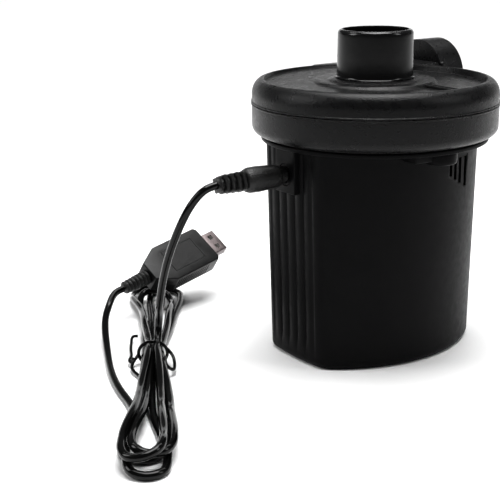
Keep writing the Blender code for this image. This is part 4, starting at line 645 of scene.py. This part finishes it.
def build_top_cover(looks):
    low = PARTING_Z + GAP / 2
    edge, side = 0.0066, 0.0046
    bead = 0.0003
    hole = INTAKE_BASE_RADIUS + GAP
    floor = [RECESS_RADIUS - 0.0001 - 0.0004 * step / 2 for step in range(5)]
    floor += [RECESS_RADIUS - 0.003 - (RECESS_RADIUS - BOSS_RADIUS - 0.006) * step / 8 for step in range(9)]
    floor += [BOSS_RADIUS + 0.0020 - 0.0005 * step for step in range(4)]
    dome = [(DISC_RADIUS - side + side * x, DISC_TOP - edge + edge * y) for x, y in arc((0, 0), 1, 86, 0, 14)]
    profile = [(hole, DISC_TOP - 0.0002), (hole + 0.0004, DISC_TOP),
               *arc((hole + 0.0042, DISC_TOP + 0.0020), 0.0030, 235, 268, 4), (BOSS_RADIUS, BOSS_Z),
               *[(radius, SCROLL_HIGH) for radius in reversed(floor)],
               (RECESS_RADIUS, DISC_TOP - 0.0001), (RECESS_RADIUS + 0.0003, DISC_TOP),
               *dome, (DISC_RADIUS, low + bead * 2.6),
               (DISC_RADIUS + bead, low + bead * 1.6), (DISC_RADIUS + bead, low + bead * 0.5),
               (DISC_RADIUS + bead * 0.6, low), (CHAMBER_RADIUS, low), (CHAMBER_RADIUS, CHAMBER_ROOF - 0.001),
               (CHAMBER_RADIUS - 0.001, CHAMBER_ROOF), (hole, CHAMBER_ROOF)]
    cover = revolved("top_cover_fine", profile, 220, lift=sunken)
    roof = duct("duct_high", low - 0.006, DISC_TOP, DUCT_START_X, DUCT_END_X)
    bowl_radius, bowl_top, bowl_floor = RECESS_RADIUS + 0.0002, 0.120, CHAMBER_ROOF + 0.0006
    hollow = [(0, bowl_top), (bowl_radius, bowl_top), (bowl_radius, bowl_floor), (0, bowl_floor)]
    bowl = revolved("bowl", hollow, 220)
    below = block("below", (-0.06, -0.06, low - 0.01), (0.07, 0.07, low))
    combined(roof, [bowl, below], "DIFFERENCE")
    ridges = [roof]
    for x in (0.0058, 0.0084):
        ridges.append(block("ridge", (x - 0.0004, -RECESS_RADIUS + 0.0008, CHAMBER_ROOF + 0.001),
                            (x + 0.0004, -INTAKE_BASE_RADIUS - 0.0015, BOSS_Z - 0.0002), 0.0003))
    combined(cover, ridges, "UNION")
    inside = duct("duct_high_inside", low - 0.002, CHAMBER_ROOF, CHAMBER_RADIUS - 0.012, DUCT_END_X + 0.001,
                  DUCT_WALL)
    combined(cover, [inside], "DIFFERENCE")
    as_piece(smooth(cover, 28), "housing", looks["blower"], "blower_plastic", "top_cover")


def build_intake_nozzle(looks):
    lip = 0.0017
    foot = 0.0010
    base = INTAKE_BASE_RADIUS
    profile = [*arc((INTAKE_RADIUS - lip, INTAKE_TOP - lip), lip, 90, 0, 8),
               (INTAKE_RADIUS, INTAKE_TOP - 0.0030),
               (INTAKE_RADIUS + 0.0002, DISC_TOP + 0.0080), (base - 0.0002, DISC_TOP + 0.0022),
               *arc((base - 0.0001 + foot, DISC_TOP + 0.0002 + foot), foot, 180, 235, 6),
               (base, DISC_TOP - 0.0006), (base, CHAMBER_ROOF - GAP), (base + 0.0031, CHAMBER_ROOF - GAP),
               (base + 0.0031, CHAMBER_ROOF - GAP - 0.001), (INTAKE_BORE - 0.001, CHAMBER_ROOF - GAP - 0.001),
               (INTAKE_BORE - 0.001, 0.1139), (INTAKE_BORE, 0.1139), (INTAKE_BORE, INTAKE_TOP - 0.0009),
               *arc((INTAKE_BORE + 0.0002, INTAKE_TOP - 0.0002), 0.0002, 180, 90, 3)]
    nozzle = revolved("intake_nozzle_fine", profile, 180)
    as_piece(smooth(nozzle), "housing", looks["nozzle"], "nozzle_plastic", "intake_nozzle")


def build_outlet_nozzle(looks):
    start = DUCT_END_X + GAP
    lip = 0.0010
    length = OUTLET_END_X - start
    rim = arc((OUTLET_RADIUS - lip, length - lip), lip, 90, 0, 8)
    profile = [(0, length), *rim, (OUTLET_RADIUS, 0), (0, 0)]
    nozzle = along_x(revolved("outlet_nozzle_fine", profile, 140), start, OUTLET_Y, OUTLET_Z)
    face = duct("duct_face", DISC_BOTTOM, DISC_TOP, start, OUTLET_FACE_X)
    combined(nozzle, [face], "UNION")
    floor = OUTLET_FACE_X - start
    bore = [(0, length + 0.002), (OUTLET_BORE + 0.0006, length + 0.002), (OUTLET_BORE + 0.0006, length),
            (OUTLET_BORE, length - 0.0008), (OUTLET_BORE, floor), (0, floor)]
    reach = DUCT_HALF_WIDTH - DUCT_WALL
    window = block("window", (start - 0.001, OUTLET_Y - reach, DISC_BOTTOM + DUCT_WALL),
                   (OUTLET_FACE_X + 0.0005, OUTLET_Y + reach, CHAMBER_ROOF))
    limit = [(0, floor + 0.001), (OUTLET_BORE, floor + 0.001), (OUTLET_BORE, -0.002), (0, -0.002)]
    combined(window, [along_x(revolved("limit", limit, 120), start, OUTLET_Y, OUTLET_Z)], "INTERSECT")
    combined(nozzle, [along_x(revolved("bore", bore, 120), start, OUTLET_Y, OUTLET_Z), window], "DIFFERENCE")
    as_piece(smooth(nozzle, 30), "housing", looks["blower"], "blower_plastic", "outlet_nozzle")


# ---------------------------------------------------------------- plug at the pump
PLUG_FRONT_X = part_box("dc_plug_body")[1].x
PLUG_REAR_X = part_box("dc_plug_body")[0].x


def build_dc_plug(looks):
    length = PLUG_FRONT_X - PLUG_REAR_X
    profile = [(0, length), (0.0034, length), (0.0044, length - 0.0008), (0.0051, length - 0.0026),
               (0.0052, length - 0.0065), (0.0049, 0.0080), (0.0046, 0.0046), (0.0044, 0.0037),
               (0.0037, 0.0033),
               (0.0037, 0.0004), (0.0034, 0), (0.0031, 0), (0.0031, 0.0060), (0, 0.0060)]
    grip = revolved("dc_plug_grip_fine", softened(profile, 0.0006, steps=4), 96)
    along_x(grip, PLUG_FRONT_X, 0, JACK_Z, -1)
    as_piece(smooth(grip, 40), "lead", looks["grip"], "grip_rubber", "dc_plug_body")


def build_dc_relief(looks):
    """Square-sided collars on a core, joined by a web above and below, so that each gap is a window."""
    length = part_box("dc_strain_relief")[1].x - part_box("dc_strain_relief")[0].x
    profile = [(0, length), (0.0023, length), (0.0026, 0), (0, 0)]
    core = revolved("dc_relief_fine", softened(profile, 0.0003), 64)
    pitch = length / 4.35
    added = []
    for ring in range(5):
        low = ring * pitch
        high = min(low + 0.58 * pitch, length)
        half = (0.0039 - 0.0001 * ring) * (1.0 if ring < 4 else 0.86)
        added.append(block("collar", (-half, -half, low), (half, half, high), 0.0012, 4))
        if ring < 4:
            for side in (-1, 1):
                at = side * (half - 0.0010)
                added.append(block("web", (at - 0.0007, -0.0011, low + 0.001),
                                   (at + 0.0007, 0.0011, low + pitch + 0.0004), 0.0003))
    combined(core, added, "UNION")
    turned_to(core, Matrix.Rotation(math.radians(20), 4, "Z"))
    along_x(core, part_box("dc_strain_relief")[1].x, 0, JACK_Z, -1)
    as_piece(smooth(core, 30), "lead", looks["grip"], "grip_rubber", "dc_strain_relief")


# ---------------------------------------------------------------- the lead
def hank_point(along, across, height=0.0):
    return HANK_TIE + HANK_ALONG * along + HANK_ACROSS * across + Vector((0, 0, height))


# Each fold: the side where the lead goes in, the fold's middle across the hank, its tip and its radius.
NEAR_FOLDS = ((1, -0.0016, -0.1040, 0.0069), (-1, 0.0018, -0.0985, 0.0070), (-1, 0.0000, -0.1065, 0.0068),
              (1, -0.0020, -0.0950, 0.0070))
FAR_FOLDS = ((-1, -0.0044, 0.0945, 0.0071), (1, -0.0006, 0.0870, 0.0071), (1, 0.0040, 0.0955, 0.0071))
# How long each pass keeps the width of its folds: above 1, most of the way to the tie
FULLNESS = (1.7, 0.70, 0.55, 1.9, 0.75, 1.3, 0.60)
# Each pass's place across the hank at the tie
AT_TIE = (0.0016, -0.0016, 0.0, 0.0032, -0.0032, 0.0016, -0.0016)
# Control points on a pass, as shares of the way from a fold to the tie and from the tie to the next fold
LEAVING, ARRIVING = (0.30, 0.62), (0.38, 0.70)


def fold_points(side, middle, tip, radius):
    """Points round a fold, from the side where the lead goes in."""
    out = 1 if tip > 0 else -1
    centre = tip - out * (radius + LEAD_DIAMETER / 2)
    points = []
    for step in range(9):
        angle = math.pi * step / 8
        points.append((centre + out * radius * math.sin(angle), middle + side * radius * math.cos(angle)))
    return points


def arriving_points(end, across, fullness):
    """Points along the half of a pass from the tie to a fold."""
    return [(end[0] * share, across + (end[1] - across) * (1 - (1 - share) ** fullness))
            for share in ARRIVING]


def pass_points(start, end, across, fullness):
    """Points along one pass from a fold, through the tie, to the next."""
    points = []
    for share in LEAVING:
        points.append((start[0] * (1 - share), start[1] + (across - start[1]) * share ** fullness))
    points.append((0.0, across))
    return points + arriving_points(end, across, fullness)


def hank_plan():
    """(along, across) control points of all seven passes and of the way out to the left."""
    folds = [fold for pair in zip(NEAR_FOLDS, FAR_FOLDS) for fold in pair] + [NEAR_FOLDS[-1]]
    plan = [(0.0, AT_TIE[0])]
    before = plan[0]
    for i, fold in enumerate(folds):
        points = fold_points(*fold)
        if i == 0:
            plan += arriving_points(points[0], AT_TIE[i], FULLNESS[i])
        else:
            plan += pass_points(before, points[0], AT_TIE[i], FULLNESS[i])
        plan += points
        before = points[-1]
    return plan + [(-0.0740, -0.0078), (-0.0590, -0.0066), (-0.0470, -0.0072), (-0.0400, -0.0095)]


def spline_through(points, spacing):
    """Points this far apart on a smooth cubic through the given ones."""
    points = np.array(points, float)
    chord = np.concatenate([[0], np.cumsum(np.linalg.norm(np.diff(points, axis=0), axis=1))])
    gap = np.diff(chord)
    count = len(points)
    matrix = np.zeros((count, count))
    right = np.zeros((count, 3))
    matrix[0, 0] = matrix[-1, -1] = 1
    for i in range(1, count - 1):
        matrix[i, i - 1: i + 2] = gap[i - 1], 2 * (gap[i - 1] + gap[i]), gap[i]
        right[i] = 6 * ((points[i + 1] - points[i]) / gap[i] - (points[i] - points[i - 1]) / gap[i - 1])
    curve = np.linalg.solve(matrix, right)
    made = []
    for at in np.linspace(0, chord[-1], round(chord[-1] / spacing) + 1):
        i = min(int(np.searchsorted(chord, at, side="right")) - 1, count - 2)
        a, b, h = chord[i + 1] - at, at - chord[i], gap[i]
        made.append((curve[i] * a ** 3 + curve[i + 1] * b ** 3) / (6 * h)
                    + (points[i] / h - curve[i] * h / 6) * a + (points[i + 1] / h - curve[i + 1] * h / 6) * b)
    return np.array(made)


def settled(plan, spacing):
    """Heights of the hank's points, laid from its loose end up, on the floor or on lead already laid."""
    count = len(plan)
    radius = LEAD_DIAMETER / 2
    height = np.full(count, radius)
    laid_at_once, close_by, droop_radius, droop_steps = 0.19, 0.012, 0.022, 60
    chunk = round(laid_at_once / spacing)
    apart = round(close_by / spacing)
    reach = np.arange(-droop_steps, droop_steps + 1)
    droop = (reach * spacing) ** 2 / (2 * droop_radius)
    for end in range(count, 0, -chunk):
        start = max(0, end - chunk)
        needed = np.full(end - start, radius)
        for i in range(start, end):
            later = slice(min(count, max(end, i + apart)), count)
            distance = np.linalg.norm(plan[later] - plan[i], axis=1)
            under = distance < LEAD_DIAMETER
            if under.any():
                top = height[later][under] + np.sqrt(LEAD_DIAMETER ** 2 - distance[under] ** 2)
                needed[i - start] = max(radius, top.max())
        eased = needed.copy()
        for shift, drop in zip(reach, droop):
            moved = np.full(len(needed), radius)
            source = np.arange(len(needed)) + shift
            inside = (source >= 0) & (source < len(needed))
            moved[inside] = needed[source[inside]] - drop
            eased = np.maximum(eased, moved)
        height[start:end] = eased
    kernel = np.exp(-np.linspace(-1.8, 1.8, 9) ** 2)
    padded = np.pad(height, 4, mode="edge")
    return np.maximum(radius, np.convolve(padded, kernel / kernel.sum(), mode="valid"))


def usb_matrix():
    turn = Matrix.Rotation(USB_YAW, 4, "Z") @ Matrix.Rotation(-USB_PITCH, 4, "Y")
    return Matrix.Translation(USB_CENTRE) @ turn @ Matrix.Rotation(USB_ROLL, 4, "X")


def lead_path():
    """The whole lead's centreline, from the plug at the pump to the far plug."""
    spacing = 0.0015
    flat = spline_through([(along, across, 0.0) for along, across in hank_plan()], spacing)[:, :2]
    heights = settled(flat, spacing)
    laid = [hank_point(along, across, height) for (along, across), height in zip(flat, heights)]
    first = laid[2]
    turn = 0.0074
    landing = [hank_point(0.0052, 0.0030, 0.0195)]
    for angle in (math.radians(d) for d in (5, 28, 52, 74)):
        rise = turn * (1 - math.sin(angle))
        landing.append(hank_point(turn * math.cos(angle) - 0.0008, 0.0026 - 0.0006 * math.sin(angle),
                                  first.z + rise))
    out = usb_matrix().to_3x3() @ Vector((-1, 0, 0))
    relief_end = usb_matrix() @ Vector((-USB_LENGTH / 2 - 2 * GAP - USB_RELIEF_LENGTH, 0, 0))
    tail = [*USB_LEAD_ROUTE, relief_end + out * 0.004, relief_end + out * GAP]
    whole = [*LEAD_ROUTE, *landing, *laid[2::4], *tail]
    return spline_through([tuple(point) for point in whole], spacing)


def tube(name, path, radius, resolution=6):
    curve = bpy.data.curves.new(name, "CURVE")
    curve.dimensions = "3D"
    curve.bevel_depth = radius
    curve.bevel_resolution = resolution
    curve.use_fill_caps = True
    spline = curve.splines.new("POLY")
    spline.points.add(len(path) - 1)
    for point, at in zip(spline.points, path):
        point.co = (*at, 1)
    spline.use_smooth = True
    obj = bpy.data.objects.new(name, curve)
    bpy.context.scene.collection.objects.link(obj)
    return obj


def build_lead(looks):
    path = lead_path()
    lead = tube("lead", path, LEAD_DIAMETER / 2)
    as_piece(lead, "lead", looks["sheath"], "sheath", "lead_tube", "lead_hank", "usb_lead_tube")
    return lead, path[0], float(np.linalg.norm(np.diff(path, axis=0), axis=1).sum())


def build_tie(looks):
    """A wire tie: one turn round the waist, a twist at the left, a bent tail and an end tucked back."""
    wire = 0.0007
    half, middle = 0.0060, 0.0049
    ring = [hank_point(0.0004 * math.sin(a), half * math.cos(a), max(wire, middle + 0.0050 * math.sin(a)))
            for a in (math.radians(d) for d in range(-150, 211, 12))]
    knot = hank_point(0.0, -0.0058, 0.0034)
    twist = [knot - HANK_ACROSS * 0.0008 * i + HANK_ALONG * (0.0007 * math.cos(1.9 * i) - 0.0006 * i)
             + Vector((0, 0, 0.0006 * math.sin(1.9 * i))) for i in range(4)]
    tail = [hank_point(-0.0040, -0.0084, 0.0026), hank_point(-0.0034, -0.0091, 0.0025),
            hank_point(0.0010, -0.0094, 0.0025), hank_point(0.0092, -0.0096, 0.0028),
            hank_point(0.0190, -0.0098, 0.0030), hank_point(0.0245, -0.0096, 0.0030),
            hank_point(0.0266, -0.0088, 0.0028), hank_point(0.0272, -0.0074, 0.0026)]
    tuck = [hank_point(-0.0075, -0.0086, 0.0020), hank_point(-0.0126, -0.0072, 0.0016),
            hank_point(-0.0172, -0.0050, 0.0014)]
    curve = bpy.data.curves.new("twist_tie", "CURVE")
    curve.dimensions = "3D"
    curve.bevel_depth = wire
    curve.bevel_resolution = 4
    curve.use_fill_caps = True
    right = [hank_point(0.0008, 0.0060, 0.0062), hank_point(-0.0040, 0.0082, 0.0050),
             hank_point(-0.0100, 0.0090, 0.0032), hank_point(-0.0142, 0.0080, 0.0030),
             hank_point(-0.0148, 0.0064, 0.0044), hank_point(-0.0105, 0.0052, 0.0070)]
    for points in (ring, [ring[0], *twist, *tail], [twist[2], *tuck], right):
        fine = spline_through([tuple(p) for p in points], 0.0007)
        spline = curve.splines.new("POLY")
        spline.points.add(len(fine) - 1)
        for point, at in zip(spline.points, fine):
            point.co = (*at, 1)
    tie = bpy.data.objects.new("twist_tie", curve)
    bpy.context.scene.collection.objects.link(tie)
    as_piece(tie, "lead", looks["sheath"], "sheath", "hank_tie")


# ---------------------------------------------------------------- far plug
def build_usb_plug(looks):
    half, side, thick = USB_LENGTH / 2, USB_WIDTH / 2, USB_THICKNESS / 2
    outline = [(half, side - 0.0015), (half - 0.0015, side), (-half + 0.0100, side), (-half, side - 0.0052),
               (-half, -side + 0.0052), (-half + 0.0100, -side), (half - 0.0015, -side),
               (half, -side + 0.0015)]
    housing = prism("usb_housing_fine", softened(outline, 0.0004, closed=True), -thick, thick)
    bevelled(housing, 0.0007, 4)
    cuts = []
    for i in range(13):
        x = half - 0.0075 - 0.0016 * i
        for edge in (-side, side):
            cuts.append(block("rib_gap", (x - 0.00035, edge - 0.0005, -thick * 0.72),
                              (x + 0.00035, edge + 0.0005, thick * 0.72)))
    seam = 0.00012
    for edge in (-side, side):
        cuts.append(block("seam", (-half + 0.0110, edge - 0.0004, -seam),
                          (half - 0.0060, edge + 0.0004, seam)))
    x0, x1, y0 = -half + 0.0120, half - 0.0070, side - 0.0042
    frame_lines = [((x0, -y0), (x1, -y0)), ((x0, y0), (x1, y0)), ((x0, -y0), (x0, y0)), ((x1, -y0), (x1, y0))]
    for a, b in frame_lines:
        cuts.append(block("panel_line", (a[0] - 0.00015, a[1] - 0.00015, thick - 0.00018),
                          (b[0] + 0.00015, b[1] + 0.00015, thick + 0.001)))
    combined(housing, cuts, "DIFFERENCE")
    length, width, height = USB_SHELL
    front = half + GAP
    wall = 0.0004
    shell = block("usb_shell_fine", (front, -width / 2, -height / 2),
                  (front + length, width / 2, height / 2), 0.0005, 4)
    hollow = [block("hollow", (front - 0.001, -width / 2 + wall, -height / 2 + wall),
                    (front + length + 0.001, width / 2 - wall, height / 2 - wall), 0.0003)]
    for hole in (-1, 1):
        for face in (-1, 1):
            z = sorted((face * 0.0010, face * 0.0040))
            hollow.append(block("window", (front + 0.0040, hole * 0.0028 - 0.0012, z[0]),
                                (front + 0.0064, hole * 0.0028 + 0.0012, z[1])))
    combined(shell, hollow, "DIFFERENCE")
    turned_to(housing, usb_matrix())
    turned_to(shell, usb_matrix())
    as_piece(smooth(housing, 30), "lead", looks["plug"], "body_plastic", "usb_housing")
    as_piece(smooth(shell, 30), "lead", looks["nickel"], "nickel", "usb_shell")
    profile = [(0, USB_RELIEF_LENGTH)]
    rings = 7
    pitch = USB_RELIEF_LENGTH / rings
    for ring in reversed(range(rings)):
        radius = USB_RELIEF_RADIUS * (1 - 0.20 * ring / rings)
        low = ring * pitch
        profile += [(radius - 0.0004, low + 0.80 * pitch), (radius, low + 0.62 * pitch),
                    (radius, low + 0.30 * pitch),
                    (radius - 0.0004, low + 0.12 * pitch), (radius - 0.0009, low + 0.06 * pitch)]
    profile.append((0, 0))
    relief = revolved("usb_relief_fine", softened(profile, 0.0002, steps=2), 72)
    lay = usb_matrix() @ Matrix.Translation((-half - GAP, 0, 0)) @ Matrix.Rotation(-math.pi / 2, 4, "Y")
    turned_to(relief, lay)
    as_piece(smooth(relief, 50), "lead", looks["grip"], "grip_rubber", "usb_strain_relief")
    return [housing, shell, relief, frame["nodes"]["usb_tongue"]]


# ---------------------------------------------------------------- all together
set_camera()
set_stage()
looks = make_looks()
dress_cad_nodes(looks)
lead, lead_exit, lead_length = build_lead(looks)
build_tie(looks)
on_lead = build_usb_plug(looks)
build_dc_plug(looks)
build_dc_relief(looks)
build_body(looks)
build_volute_pan(looks)
build_top_cover(looks)
build_intake_nozzle(looks)
build_outlet_nozzle(looks)
